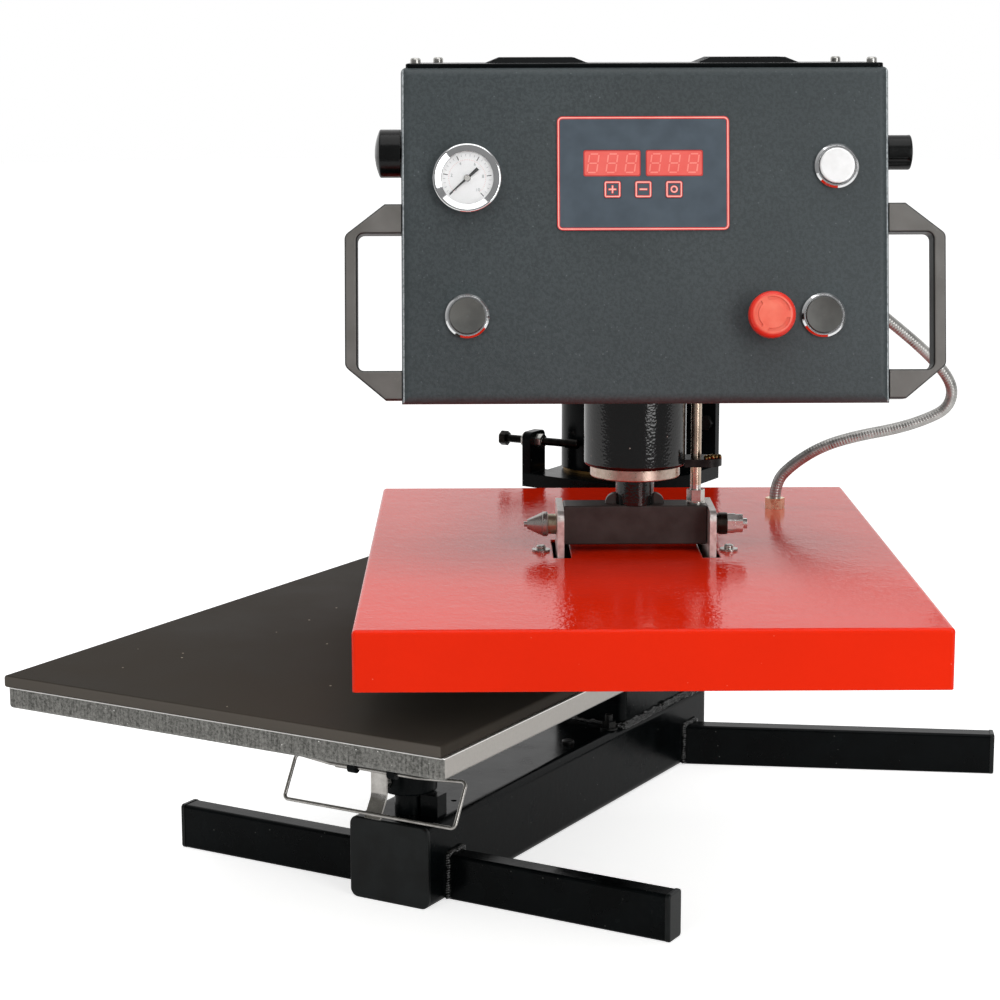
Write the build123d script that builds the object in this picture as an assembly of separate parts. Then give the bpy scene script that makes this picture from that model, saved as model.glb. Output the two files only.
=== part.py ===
"""A pneumatic swing-away heat press: welded stand, lower platen, swinging head and heat plate.

Millimetres. The origin is the swing axis at floor level, +X is the operator's right, +Y is away
from the operator and +Z is up. The head faces -Y; the stand is turned under it by swing_open.
"""
from build123d import *
from math import atan2, cos, degrees, pi, radians, sin, sqrt, tan
import os

# Swing of the head over the stand
swing_open = 30.4
swing_radius = 360.0

# Stand
beam_width = 74.0
beam_height = 68.0
beam_front = 380.5
beam_rear = 130.0
beam_corner = 7.0
cap_lip = 4.0
cap_margin = 0.5
leg_height = 38.0
leg_depth = 20.0
leg_corner = 3.0
front_leg_right = 235.0
front_leg_left = 230.0
front_leg_setback = 30.5
rear_leg_length = 287.0
rear_leg_splay = 23.1
rear_leg_setback = 36.0
tower_length = 171.0
tower_wall = 5.0
tower_neck = 61.0
weld_step = 1.0

# Swing column
foot_plate_top = 297.0
foot_plate_thickness = 12.0
post_d = 70.0
post_top = 596.0
bush_wall = 5.0
bush_length = 40.0
sleeve_d = 89.0
sleeve_top = 600.0
washer_thickness = 2.7
washer_margin = 1.5
running_gap = 0.05
seat_gap = 0.3

# Stops of the swing
ear_thickness = 8.0
ear_depth = 28.0
ear_outer = -56.0
ear_rise = 37.0
stop_rise = 28.0
stop_line = 50.0
stop_bolt_d = 7.0
stop_bolt_length = 66.0
stop_bumper_d = 8.4
stop_bumper_length = 13.0
hex_across = 12.0
nut_height = 6.0
lug_width = 14.0
lug_reach = 60.0
upright_thickness = 8.0
upright_rise = 173.0
upright_bolt_rise = 40.0
upright_bolt_x = 71.0
stud_x = 28.0
stud_gap = 13.0
stud_d = 7.0
flat_washer = 1.6

# Lower platen and its carrier
platen_width = 380.0
platen_depth = 497.0
platen_shift = 2.0
platen_thickness = 16.0
platen_round = 3.0
pad_width = 381.0
pad_depth = 500.0
pad_top = 216.0
pad_thickness = 9.0
pad_round = 1.0
post_setback = 12.0
platen_post_d = 24.0
platen_post_height = 19.0
spigot_d = 18.0
hub_d = 45.0
carrier_flange = 118.0
carrier_flange_thickness = 6.0
yoke_half = 22.0
yoke_thickness = 7.0
yoke_depth = 9.0
strip_width = 14.3
strip_thickness = 2.0
strip_x = 4.9
bail_wire = 3.0
bail_setback = 6.0
bail_pivot_height = 116.0
bail_low = 83.5
bail_corner = 79.6
bail_corner_back = 9.5
bail_bar = 41.0
bail_lean = 9.0
bail_tip = 13.0

# Press cylinder
barrel_d = 77.5
barrel_bore = 70.0
barrel_bottom = 362.0
barrel_wall_end = 8.0
end_ring_d = 68.0
end_ring_height = 8.5
rod_d = 29.0
piston_height = 20.0
piston_top = 490.0
arm_width = 70.0
arm_height = 60.0
arm_bottom = 505.0
arm_wall = 5.0
arm_overhang = 46.0
guide_rod_d = 8.0
guide_rod_x = 46.5
guide_rod_top = 470.0
guide_bracket_height = 364.0
guide_bracket_thickness = 6.0
guide_bracket_reach = 66.0

# Crossbar, pivot and heat plate
crossbar_length = 109.0
crossbar_depth = 26.0
crossbar_height = 30.0
crossbar_top = 331.8
gusset = 8.0
pivot_z = 315.5
pivot_d = 12.0
pivot_right_end = 86.0
pivot_ring_d = 15.5
pivot_flange_d = 19.0
knurl_d = 16.9
ear_plate = 5.0
ear_plate_depth = 66.0
ear_plate_top = 331.0
ear_foot = 24.0
slot_gap = 5.0
slot_width = 13.5
slot_depth = 70.0
cover_width = 400.0
cover_depth = 530.0
cover_height = 42.0
cover_top = 296.0
cover_sheet = 2.0
cover_corner = 3.0
cover_offset = -3.0
heating_thickness = 20.0
heating_recess = 0.5
heating_margin = 1.5
insulation_gap = 1.0
cover_screw_x = 71.7
cover_screw_setback = 7.5
cover_screw_d = 6.0
cover_screw_head = 7.1
cover_screw_washer = 13.9
fitting_x = 127.0
fitting_y = -196.0
fitting_across = 14.0
fitting_height = 9.0

# Control box
panel_tilt = 10.5
panel_bottom = 420.5
panel_front = 452.5
panel_length = 243.5
box_width = 352.5
box_shift = 2.2
box_back = 300.0
box_sheet = 2.0
box_corner = 7.0
lid_rise = 3.0
lid_inset = 3.5
top_edge_round = 4.0
lid_screw_d = 7.6
lid_screw_rise = 4.0
lid_screw_margin_front = 10.5
lid_screw_margin_rear = 25.5
louvre_length = 75.0
louvre_inner = 40.0
louvre_height = 5.0
louvre_width = 9.0
louvre_pitch = 16.0
louvre_rows = 4

# Handles
handle_reach = 41.0
handle_bottom = 4.5
handle_top = 146.0
handle_bar = 9.0
handle_window_bottom = 25.7
handle_window_top = 124.7
handle_slope = 12.0
handle_depth = 19.0
handle_setback = 3.0
handle_edge = 1.8

# Instruments on the panel, measured from its centre line and up from its lower edge
gauge_x = -126.25
gauge_s = 163.3
gauge_d = 50.0
gauge_rise = 9.0
gauge_rim = 2.0
dial_d = 38.0
dial_depth = 5.0
dial_glass = 1.0
glass_depth = 1.5
needle_tip = 17.0
needle_tail = 10.3
needle_width = 2.4
start_left_x = -126.6
start_right_x = 130.1
start_s = 64.5
bezel_d = 32.0
bezel_rise = 4.0
start_cap_d = 26.0
start_travel = 2.5
estop_x = 91.0
estop_s = 63.7
estop_d = 33.5
estop_rise = 24.0
estop_stem_d = 12.0
estop_spigot_d = 8.0
power_x = 139.85
power_s = 171.8
power_cap_d = 26.5
power_travel = 2.5
keypad_x = 0.5
keypad_width = 124.3
keypad_height = 82.3
keypad_s = 167.0
keypad_thickness = 1.2
window_width = 41.3
window_height = 19.0
window_s = 174.3
window_gap = 3.6
key_size = 12.7
key_pitch = 22.2
key_s = 155.4
key_rise = 0.4
key_gap = 0.15
side_knob_y = -400.0
side_knob_z = 598.3
regulator_knob_d = 35.0
flow_knob_d = 25.5
side_knob_reach = 19.5
knob_dome = 41.0
flute_d = 10.0
flute_depth = 1.6
flute_stop = 5.0
first_flute = -63.0

# Fittings on the back of the box and what is inside it
inlet_x = 110.0
inlet_rise = 49.5
inlet_tail_d = 10.0
inlet_tail = 15.0
inlet_bore = 5.0
inlet_nut_d = 18.0
mains_width = 28.0
mains_height = 20.0
mains_flange = 4.0
rear_flange = 3.0
mains_depth = 14.0
regulator_body = 22.0
valve_width = 60.0
valve_depth = 32.0
valve_height = 40.0
board_width = 116.0
board_height = 76.0
board_thickness = 1.6
board_setback = 12.4
transformer_width = 66.0
transformer_depth = 60.0
transformer_height = 32.0

# Conduit from the back of the control box to the heat plate
conduit_d = 9.5
gland_length = 9.0
conduit_route = [
    (146.0, -291.0, 505.0),
    (146.0, -264.0, 505.0),
    (161.0, -240.0, 496.5),
    (186.0, -228.0, 477.5),
    (215.0, -221.0, 454.5),
    (243.0, -215.5, 431.5),
    (263.0, -212.0, 411.0),
    (270.0, -210.5, 396.0),
    (266.0, -209.0, 381.5),
    (251.0, -208.0, 373.0),
    (226.0, -207.0, 364.5),
    (192.0, -205.0, 358.0),
    (164.0, -202.0, 349.0),
    (141.0, -198.0, 333.5),
    (127.0, -196.0, 318.0),
    (127.0, -196.0, 305.0),
]

# Worked out from the sizes above
stop_height = foot_plate_top + stop_rise
upright_bolt_height = foot_plate_top + upright_bolt_rise
inlet_z = panel_bottom + inlet_rise
cut_reach = 1000.0

nodes = {}


def block(x0, x1, y0, y1, z0, z1):
    """A box between two corners."""
    return Pos((x0 + x1) / 2, (y0 + y1) / 2, (z0 + z1) / 2) * Box(x1 - x0, y1 - y0, z1 - z0)


def upright(radius, z0, z1, x=0.0, y=0.0):
    """A vertical cylinder."""
    return Pos(x, y, (z0 + z1) / 2) * Cylinder(radius, z1 - z0)


def drill(radius, x=0.0, y=0.0):
    """A vertical cutter longer than the machine is tall."""
    return upright(radius, -cut_reach, cut_reach, x, y)


def on_side(piece, side):
    """The piece as drawn on the right, or its mirror image on the left."""
    return piece if side > 0 else mirror(piece, Plane.YZ)


def bar_x(radius, x0, x1, y, z):
    """A round bar along X."""
    return Pos((x0 + x1) / 2, y, z) * Rot(0, 90, 0) * Cylinder(radius, x1 - x0)


def bar_y(radius, y0, y1, x, z):
    """A round bar along Y."""
    return Pos(x, (y0 + y1) / 2, z) * Rot(90, 0, 0) * Cylinder(radius, y1 - y0)


def hexagon(across, length):
    """A hexagonal prism along Z, centred."""
    return extrude(RegularPolygon(across / sqrt(3), 6), length / 2, both=True)


def hex_x(across, x0, x1, y, z):
    """A hexagonal prism along X with its upper and lower edges bevelled by a turned cone."""
    prism = hexagon(across, x1 - x0)
    prism &= Cylinder(across / sqrt(3) - 0.4, x1 - x0)
    return Pos((x0 + x1) / 2, y, z) * Rot(0, 90, 0) * prism


def in_stand(*pieces):
    """Turns pieces drawn under the closed head to where the stand is, as one piece or a group."""
    turned = [Rot(0, 0, -swing_open) * piece for piece in pieces]
    return turned[0] if len(turned) == 1 else Compound(children=turned)


def leg_tube(length):
    """A closed rectangular tube along X from x = 0, standing on z = 0."""
    section = Pos(0, leg_height / 2) * RectangleRounded(leg_depth, leg_height, leg_corner)
    return extrude(Plane.YZ * section, length)


def end_cap(width, height, corner, thickness):
    """A plastic plug's flange: a rounded plate along X with a softened outer face."""
    plate = extrude(Plane.YZ * RectangleRounded(width, height, corner), thickness)
    return fillet(plate.faces().sort_by(Axis.X)[-1].edges(), thickness * 0.4)


def build_stand():
    """The beam, its four legs, the plastic caps and the bolts on the stand."""
    section = Plane.XZ * Pos(0, beam_height / 2) * RectangleRounded(beam_width, beam_height, beam_corner)
    outer = extrude(section, beam_front - cap_lip)
    outer += extrude(section, cap_lip - beam_rear)
    hole = upright(2.5, beam_height - 8, beam_height + 1, 17, 53 - swing_radius)
    nodes["base_beam"] = in_stand(outer - hole)

    half = beam_width / 2
    cap_height = leg_height + cap_margin
    cap = Pos(0, 0, cap_height / 2) * end_cap(leg_depth + 2 * cap_margin, cap_height, leg_corner, cap_lip)
    front_y = front_leg_setback + leg_depth / 2 - beam_front
    caps = []
    for side, name, span in ((1, "front_leg_right", front_leg_right), (-1, "front_leg_left", front_leg_left)):
        leg = Pos(half, front_y, 0) * leg_tube(span - half - cap_lip)
        nodes[name] = in_stand(on_side(leg, side))
        caps.append(on_side(Pos(span - cap_lip, front_y, 0) * cap, side))

    rear_length = rear_leg_length - cap_lip
    overlap = leg_depth * tan(radians(rear_leg_splay))
    turn = Pos(half, beam_rear - rear_leg_setback, 0) * Rot(0, 0, rear_leg_splay)
    rear = turn * Pos(-overlap, 0, 0) * leg_tube(rear_length + overlap)
    rear -= block(-half, half, 0, 2 * beam_rear, -1, beam_height)
    for side, name in ((1, "rear_leg_right"), (-1, "rear_leg_left")):
        nodes[name] = in_stand(on_side(rear, side))
        caps.append(on_side(turn * Pos(rear_length, 0, 0) * cap, side))

    flange = end_cap(beam_width, beam_height, beam_corner, cap_lip)
    front_cap = Pos(0, cap_lip - beam_front, beam_height / 2) * Rot(0, 0, -90) * flange
    rear_cap = Pos(0, beam_rear - cap_lip, beam_height / 2) * Rot(0, 0, 90) * flange
    nodes["end_caps"] = in_stand(*caps, front_cap, rear_cap)

    stud_y = tower_front() - stud_gap
    nut_bottom = beam_height + flat_washer
    stud = upright(stud_d / 2, nut_bottom, nut_bottom + 2 * nut_height, stud_x, stud_y)
    stud += upright(half - 1 - stud_x, beam_height, nut_bottom, stud_x, stud_y)
    stud += Pos(stud_x, stud_y, nut_bottom + nut_height / 2) * hexagon(hex_across, nut_height)
    screw = upright(5.5, beam_height, beam_height + 3, 18, tower_front() - 72)
    screw = fillet(screw.edges().sort_by(Axis.Z)[-1], 1.5)
    bolt = Pos(upright_bolt_x, guard_face() - nut_height / 2, upright_bolt_height)
    guard = bolt * Rot(90, 0, 0) * hexagon(hex_across + 1, nut_height)
    guard += bar_y(stud_d / 2, guard_face(), tower_neck, upright_bolt_x, upright_bolt_height)
    nodes["stand_bolts"] = in_stand(stud, screw, guard)


def tower_front():
    """Front face of the tower behind the platen, in the stand's own frame."""
    return beam_rear - tower_length


def guard_face():
    """Front face of the upright guard plate, in the stand's own frame."""
    return tower_neck - upright_thickness


def build_column():
    """The welded tower, the post that the head turns on, its foot plate and the stops."""
    bottom = foot_plate_top - foot_plate_thickness
    half = beam_width / 2 - weld_step
    shoulder = beam_height + 60
    outline = [
        (tower_front(), beam_height),
        (beam_rear - cap_lip, beam_height),
        (beam_rear - cap_lip, shoulder),
        (tower_neck, bottom),
        (tower_front(), bottom),
    ]
    profile = make_face(Polyline(*outline, close=True))
    outer = extrude(Plane.YZ * profile, half, both=True)
    outer = fillet(outer.edges().filter_by(Axis.Z), beam_corner)
    inner = extrude(Plane.YZ * offset(profile, -tower_wall), half - tower_wall, both=True)
    nodes["tower"] = in_stand(outer - inner - drill(post_d / 2))
    post = upright(post_d / 2, beam_height, post_top)
    post = fillet(post.edges().sort_by(Axis.Z)[-1], 3)
    nodes["column_post"] = in_stand(post)

    ear_front = -stop_line - ear_depth / 2
    corners = [
        (ear_outer, ear_front),
        (ear_outer + 30, ear_front - 4),
        (44, -78),
        (80, 0),
        (80, tower_neck),
        (-45, tower_neck),
        (-45, ear_front + ear_depth),
        (ear_outer, ear_front + ear_depth),
    ]
    plate = extrude(Pos(0, 0, bottom) * make_face(Polyline(*corners, close=True)), foot_plate_thickness)
    ear_inner = ear_outer + ear_thickness
    ear_top = foot_plate_top + ear_rise
    ear = block(ear_outer, ear_inner, ear_front, ear_front + ear_depth, foot_plate_top, ear_top)
    ear = fillet(ear.edges().filter_by(Axis.X).group_by(Axis.Z)[-1], 6)
    ear -= bar_x(stop_bolt_d / 2, -100, 0, -stop_line, stop_height)
    wall = block(22, 80, guard_face(), tower_neck, foot_plate_top, foot_plate_top + upright_rise)
    wall = fillet(wall.edges().filter_by(Axis.Y).group_by(Axis.Z)[-1], 10)
    wall -= bar_y(stud_d / 2, 0, 2 * tower_neck, upright_bolt_x, upright_bolt_height)
    nodes["foot_plate"] = in_stand(plate + ear + wall - drill(post_d / 2))

    tip = -lug_width / 2 + 1
    shank_end = tip - stop_bumper_length
    head_x = shank_end - stop_bolt_length
    bolt = bar_x(stop_bolt_d / 2, head_x + 6, shank_end, -stop_line, stop_height)
    bolt += hex_x(hex_across, head_x, head_x + 6, -stop_line, stop_height)
    bore = bar_x(stop_bolt_d / 2, -120, 0, -stop_line, stop_height)
    nut_in = hex_x(hex_across, ear_inner, ear_inner + nut_height, -stop_line, stop_height) - bore
    nut_out = hex_x(hex_across, ear_outer - nut_height, ear_outer, -stop_line, stop_height) - bore
    bumper = bar_x(stop_bumper_d / 2, shank_end, tip, -stop_line, stop_height)
    bumper = fillet(bumper.edges().sort_by(Axis.X)[-1], 1.2)
    nodes["stop_bolt"] = in_stand(bolt, nut_in, nut_out, bumper)


def build_platen():
    """The lower platen with its pad, carrier, post, clamp bolt and release bail."""
    y = -swing_radius
    post_y = y + post_setback
    shoulder = beam_height + platen_post_height
    platen_top = pad_top - pad_thickness
    platen_bottom = platen_top - platen_thickness
    flange_bottom = platen_bottom - carrier_flange_thickness
    post = upright(platen_post_d / 2, beam_height, shoulder, 0, post_y)
    post += upright(spigot_d / 2, shoulder, flange_bottom - 4, 0, post_y)
    post += block(14, 30, post_y - 6, post_y + 8, beam_height, shoulder - 1)
    nodes["platen_post"] = in_stand(post)

    hub = upright(hub_d / 2, shoulder, flange_bottom, 0, post_y)
    hub = fillet(hub.edges().sort_by(Axis.Z)[0], 2)
    half = carrier_flange / 2
    flange = block(-half, half, post_y - half, post_y + half, flange_bottom, platen_bottom)
    flange = fillet(flange.edges().filter_by(Axis.Z), 10)
    carrier = hub + flange
    pivot_y = post_y - half + bail_setback
    inner = yoke_half - yoke_thickness
    for side in (-1, 1):
        arm = block(inner, yoke_half, pivot_y, pivot_y + yoke_depth, bail_pivot_height, flange_bottom)
        arm += bar_x(yoke_depth / 2, inner, yoke_half, pivot_y, bail_pivot_height)
        arm += block(inner, yoke_half, pivot_y - yoke_depth / 2, pivot_y, bail_pivot_height, flange_bottom)
        arm -= bar_x(bail_wire / 2 + running_gap, 0, bail_corner, pivot_y, bail_pivot_height)
        carrier += on_side(arm, side)
    carrier -= upright(spigot_d / 2 + running_gap, 0, flange_bottom, 0, post_y)
    clamp_z = shoulder + 11
    turn = Pos(0, post_y, clamp_z) * Rot(0, 0, -20) * Rot(90, 0, 0)
    carrier -= turn * Pos(0, 0, hub_d / 2 - 3) * Cylinder(3.0, 10)
    nodes["platen_carrier"] = in_stand(carrier)
    clamp = turn * Pos(0, 0, hub_d / 2 + 3.5) * hexagon(hex_across - 1, 7)
    clamp += turn * Pos(0, 0, hub_d / 2 - 3.5) * Cylinder(3.0, 8)
    clamp += turn * Pos(0, 0, hub_d / 2 + 9.5) * Cylinder(2.5, 5)
    nodes["clamp_bolt"] = in_stand(clamp)

    half_w = platen_width / 2
    half_d = platen_depth / 2
    plate = block(-half_w, half_w, y - half_d, y + half_d, platen_bottom, platen_top)
    plate = fillet(plate.edges().filter_by(Axis.Z) + plate.edges().group_by(Axis.Z)[0], platen_round)
    nodes["lower_platen"] = in_stand(Pos(platen_shift, 0, 0) * plate)

    half_w = pad_width / 2
    half_d = pad_depth / 2
    pad = block(-half_w, half_w, y - half_d, y + half_d, platen_top, pad_top)
    pad = fillet(pad.edges().filter_by(Axis.Z) + pad.edges().group_by(Axis.Z)[-1], pad_round)
    nodes["silicone_pad"] = in_stand(pad)
    nodes["release_bail"] = in_stand(release_bail(pivot_y))


def release_bail(pivot_y):
    """A sprung wire loop with a bent flat strip welded to its lower bar and across its pivot."""
    z = bail_pivot_height
    back_y = pivot_y + bail_corner_back
    low_y = pivot_y - bail_lean
    wire = None
    for side in (-1, 1):
        points = [
            (0, pivot_y, z),
            (side * bail_bar, pivot_y, z),
            (side * bail_corner, back_y, z),
            (side * bail_corner, low_y, bail_low),
            (0, low_y, bail_low),
        ]
        path = FilletPolyline(*points, radius=bail_wire * 1.3)
        half_loop = sweep(Plane(path @ 0, z_dir=path % 0) * Circle(bail_wire / 2), path)
        wire = half_loop if wire is None else wire + half_loop
    spine = FilletPolyline(
        (pivot_y + 1, z + 22),
        (pivot_y + 1, bail_low + 12),
        (low_y - 0.5, bail_low - 4),
        radius=14,
    )
    path = Plane.YZ * spine
    section = Plane(path @ 0, x_dir=(1, 0, 0), z_dir=path % 0) * Rectangle(strip_width, strip_thickness)
    strip = Pos(strip_x, 0, 0) * sweep(section, path)
    tip_end = -yoke_half - seat_gap
    tip = bar_x(bail_wire / 2 + 1, tip_end - bail_tip, tip_end, pivot_y, z)
    return wire + strip + fillet(tip.edges(), 0.8)


def build_head_frame():
    """The sleeve that turns on the post, its bearings, the arm and the press cylinder."""
    inner = post_d / 2 + bush_wall
    bottom = foot_plate_top + washer_thickness
    sleeve = upright(sleeve_d / 2, bottom, sleeve_top)
    lug_face = -lug_width / 2 + 1 + seat_gap
    lug = block(lug_face, lug_width / 2, -lug_reach, 0, stop_height - 13, stop_height + 13)
    sleeve = sleeve + lug - drill(inner)
    nodes["sleeve"] = sleeve

    bore = post_d / 2 + running_gap
    bushes = []
    for z in (bottom, sleeve_top - bush_length - 6):
        bushes.append(upright(inner, z, z + bush_length) - upright(bore, z, z + bush_length))
    washer = upright(sleeve_d / 2 - washer_margin, foot_plate_top, bottom)
    bushes.append(washer - drill(bore + seat_gap))
    nodes["sleeve_bearings"] = Compound(children=bushes)
    cap = upright(sleeve_d / 2, sleeve_top, sleeve_top + 5)
    cap = fillet(cap.edges().sort_by(Axis.Z)[-1], 2.5)
    nodes["sleeve_cap"] = cap

    front = -swing_radius - arm_overhang
    arm_top = arm_bottom + arm_height
    half = arm_width / 2
    arm = block(-half, half, front, 0, arm_bottom, arm_top)
    arm = fillet(arm.edges().filter_by(Axis.Y), 5)
    inner = half - arm_wall
    arm -= block(-inner, inner, front + arm_wall, 0, arm_bottom + arm_wall, arm_top - arm_wall)
    hanger = block(-70, 70, -box_back + 0.2, -box_back + 5.2, arm_bottom - 35, arm_top + 35)
    hanger = fillet(hanger.edges().filter_by(Axis.Y), 6)
    hanger -= block(-half + 1, half - 1, -box_back, -box_back + 6, arm_bottom + 1, arm_top - 1)
    gusset_side = [(-sleeve_d / 2 + 2, arm_bottom), (-sleeve_d / 2 + 2, arm_bottom - 70), (-150, arm_bottom)]
    web = extrude(Plane.YZ * make_face(Polyline(*gusset_side, close=True)), 4, both=True)
    nodes["head_arm"] = arm + hanger + web - drill(sleeve_d / 2)

    y = -swing_radius
    barrel = upright(barrel_d / 2, barrel_bottom, arm_bottom, 0, y)
    barrel = fillet(barrel.edges().sort_by(Axis.Z)[0], 3)
    barrel -= upright(barrel_bore / 2, barrel_bottom + barrel_wall_end, arm_bottom - barrel_wall_end, 0, y)
    barrel -= upright(rod_d / 2 + 1, barrel_bottom, arm_bottom - 20, 0, y)
    nodes["cylinder_barrel"] = barrel
    ring = upright(end_ring_d / 2, barrel_bottom - end_ring_height, barrel_bottom, 0, y)
    ring = fillet(ring.edges().sort_by(Axis.Z)[0], 1)
    ring -= drill(rod_d / 2 + running_gap, 0, y)
    nodes["cylinder_end_ring"] = ring

    low = guide_bracket_height - guide_bracket_thickness / 2
    high = guide_bracket_height + guide_bracket_thickness / 2
    bracket = block(barrel_d / 2 - 8, guide_bracket_reach, y - 12, y + 12, low, high)
    bracket = fillet(bracket.edges().filter_by(Axis.Z).group_by(Axis.X)[-1], 11)
    bracket -= drill(barrel_d / 2, 0, y)
    bracket -= drill(guide_rod_d / 2 + running_gap, guide_rod_x, y)
    nodes["guide_bracket"] = bracket


def build_press():
    """The piston, rod, crossbar, guide rod and pivot bolts that the air drives down."""
    y = -swing_radius
    piston_bottom = piston_top - piston_height
    piston = upright(barrel_bore / 2 - 0.1, piston_bottom, piston_top, 0, y)
    nodes["piston"] = piston
    nodes["press_rod"] = upright(rod_d / 2, crossbar_top, piston_bottom, 0, y)

    half = crossbar_length / 2
    deep = crossbar_depth / 2
    bar = block(-half, half, y - deep, y + deep, crossbar_top - crossbar_height, crossbar_top)
    bar = fillet(bar.edges(), 1.2)
    bar -= bar_x(pivot_d / 2, -half, half, y, pivot_z)
    for side in (-1, 1):
        web = bar_y(gusset, y - 3, y + 3, side * rod_d / 2, crossbar_top)
        web &= block(-half, half, y - deep, y + deep, crossbar_top, crossbar_top + gusset)
        bar += web - drill(rod_d / 2, 0, y)
    nodes["crossbar"] = bar

    washer = upright(7.5, crossbar_top, crossbar_top + 1.6, guide_rod_x, y)
    nut = Pos(guide_rod_x, y, crossbar_top + 1.6 + 4.5) * hexagon(12, 9)
    rod = upright(guide_rod_d / 2, crossbar_top + 1.6, guide_rod_top, guide_rod_x, y)
    rod = chamfer(rod.edges().sort_by(Axis.Z)[-1], 1)
    nodes["guide_rod"] = washer + nut + rod
    nodes["pivot_bolts"] = pivot_bolts(y, pivot_z)


def pivot_bolts(y, z):
    """The pivot rod with its cone nut on the left, and collar, knurled nut and lock nuts right."""
    outer = crossbar_length / 2 + ear_plate + 2 * seat_gap
    rod = bar_x(pivot_d / 2, -outer - 3, outer + 3, y, z)
    rod += bar_x(pivot_d / 2 - 2, outer, pivot_right_end, y, z)

    ring_end = -outer - 6
    flange_end = ring_end - 4.9
    cone_end = flange_end - 11.2
    ring = bar_x(pivot_ring_d / 2, ring_end, -outer, y, z)
    flange = fillet(bar_x(pivot_flange_d / 2, flange_end, ring_end, y, z).edges(), 1.5)
    cone = Pos((flange_end + cone_end) / 2, y, z) * Rot(0, -90, 0) * Cone(8.75, 3.5, flange_end - cone_end)
    tip = bar_x(2, cone_end - 2.4, cone_end, y, z)

    washer_end = outer + 4.2
    knurl_end = washer_end + 6.3
    nut_end = knurl_end + nut_height
    washer = bar_x(pivot_ring_d / 2, outer, washer_end, y, z)
    knurl = bar_x(knurl_d / 2, washer_end, knurl_end, y, z)
    nut_a = hex_x(hex_across + 2, knurl_end, nut_end, y, z)
    nut_b = hex_x(hex_across + 1, nut_end, nut_end + nut_height, y, z)
    return rod + ring + flange + cone + tip + washer + knurl + nut_a + nut_b


def build_heat_plate():
    """The heating platen with its ears, insulation, the red sheet cover and its screws."""
    y = -swing_radius
    bottom = cover_top - cover_height
    x0 = cover_offset - cover_width / 2
    x1 = cover_offset + cover_width / 2
    y0 = y - cover_depth / 2
    y1 = y + cover_depth / 2
    cover = block(x0, x1, y0, y1, bottom, cover_top)
    cover = fillet(cover.edges().filter_by(Axis.Z), cover_corner)
    cover = fillet(cover.faces().sort_by(Axis.Z)[-1].edges(), cover_corner)
    s = cover_sheet
    cover -= block(x0 + s, x1 - s, y0 + s, y1 - s, bottom, cover_top - s)
    screw_y = y - cover_screw_setback
    slot_in = crossbar_length / 2 - slot_gap
    slot = block(slot_in, slot_in + slot_width, y - slot_depth / 2, y + slot_depth / 2, bottom, cover_top + 1)
    for side in (-1, 1):
        cover -= on_side(slot, side)
        cover -= drill(cover_screw_d / 2, side * cover_screw_x, screw_y)
    cover -= drill(fitting_across / 2 - 1, fitting_x, fitting_y)
    nodes["heat_cover"] = cover

    inner_x0 = x0 + s + heating_margin
    inner_x1 = x1 - s - heating_margin
    inner_y0 = y0 + s + heating_margin
    inner_y1 = y1 - s - heating_margin
    heat_bottom = bottom - heating_recess
    heat_top = heat_bottom + heating_thickness
    heater = block(inner_x0, inner_x1, inner_y0, inner_y1, heat_bottom, heat_top)
    for side in (-1, 1):
        x = side * cover_screw_x
        post = upright(cover_screw_d, heat_top, cover_top - s, x, screw_y)
        heater += post - upright(cover_screw_d / 2, heat_top, cover_top, x, screw_y)
    nodes["heating_platen"] = heater

    blanket = block(inner_x0, inner_x1, inner_y0, inner_y1, heat_top, cover_top - s - insulation_gap)
    pocket = block(-95, 95, y - 50, y + 45, heat_top, cover_top)
    port = upright(fitting_across, heat_top, cover_top, fitting_x, fitting_y)
    nodes["insulation"] = blanket - pocket - port

    ears = []
    inside = crossbar_length / 2 + seat_gap
    deep = ear_plate_depth / 2
    for side in (-1, 1):
        ear = block(inside, inside + ear_plate, y - deep, y + deep, heat_top, ear_plate_top)
        foot_end = inside + ear_plate - ear_foot
        foot = block(foot_end, inside, y - deep, y + deep, heat_top, heat_top + ear_plate)
        ear = fillet(ear.edges().filter_by(Axis.X).group_by(Axis.Z)[-1], 8) + foot
        ear -= bar_x(pivot_d / 2 + running_gap, 0, crossbar_length, y, pivot_z)
        ears.append(on_side(ear, side))
    nodes["pivot_ears"] = Compound(children=ears)

    screws = []
    for side in (-1, 1):
        x = side * cover_screw_x
        seat = cover_top + flat_washer
        head = upright(cover_screw_head / 2, seat, seat + 3, x, screw_y)
        head = fillet(head.edges().sort_by(Axis.Z)[-1], 1.2)
        screw = head + upright(cover_screw_washer / 2, cover_top, seat, x, screw_y)
        screw += upright(cover_screw_d / 2 - 0.4, heat_top + 1, seat, x, screw_y)
        screws.append(screw)
    nodes["cover_screws"] = Compound(children=screws)

    fitting = hexagon(fitting_across, fitting_height)
    fitting = Pos(fitting_x, fitting_y, cover_top + fitting_height / 2) * fitting
    fitting += upright(fitting_across / 2 - 1, cover_top - 6, cover_top, fitting_x, fitting_y)
    nodes["conduit_fitting"] = fitting


def panel_frame(x=0.0, s=0.0, rise=0.0):
    """A frame on the tilted front panel: x right, y up along the panel, z out of it."""
    t = radians(panel_tilt)
    base = Plane((0, -panel_front, panel_bottom), x_dir=(1, 0, 0), z_dir=(0, -cos(t), sin(t)))
    return base * Pos(x, s, rise)


def on_panel(shape, x, s, rise=0.0):
    """Places a piece drawn on XY, facing +Z, onto the front panel."""
    return panel_frame(x, s, rise) * shape


def stepped(*steps):
    """A turned piece along Z: each step is a radius, a lower and an upper height."""
    body = None
    for radius, low, high in steps:
        disc = Pos(0, 0, (low + high) / 2) * Cylinder(radius, high - low)
        body = disc if body is None else body + disc
    return body


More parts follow.
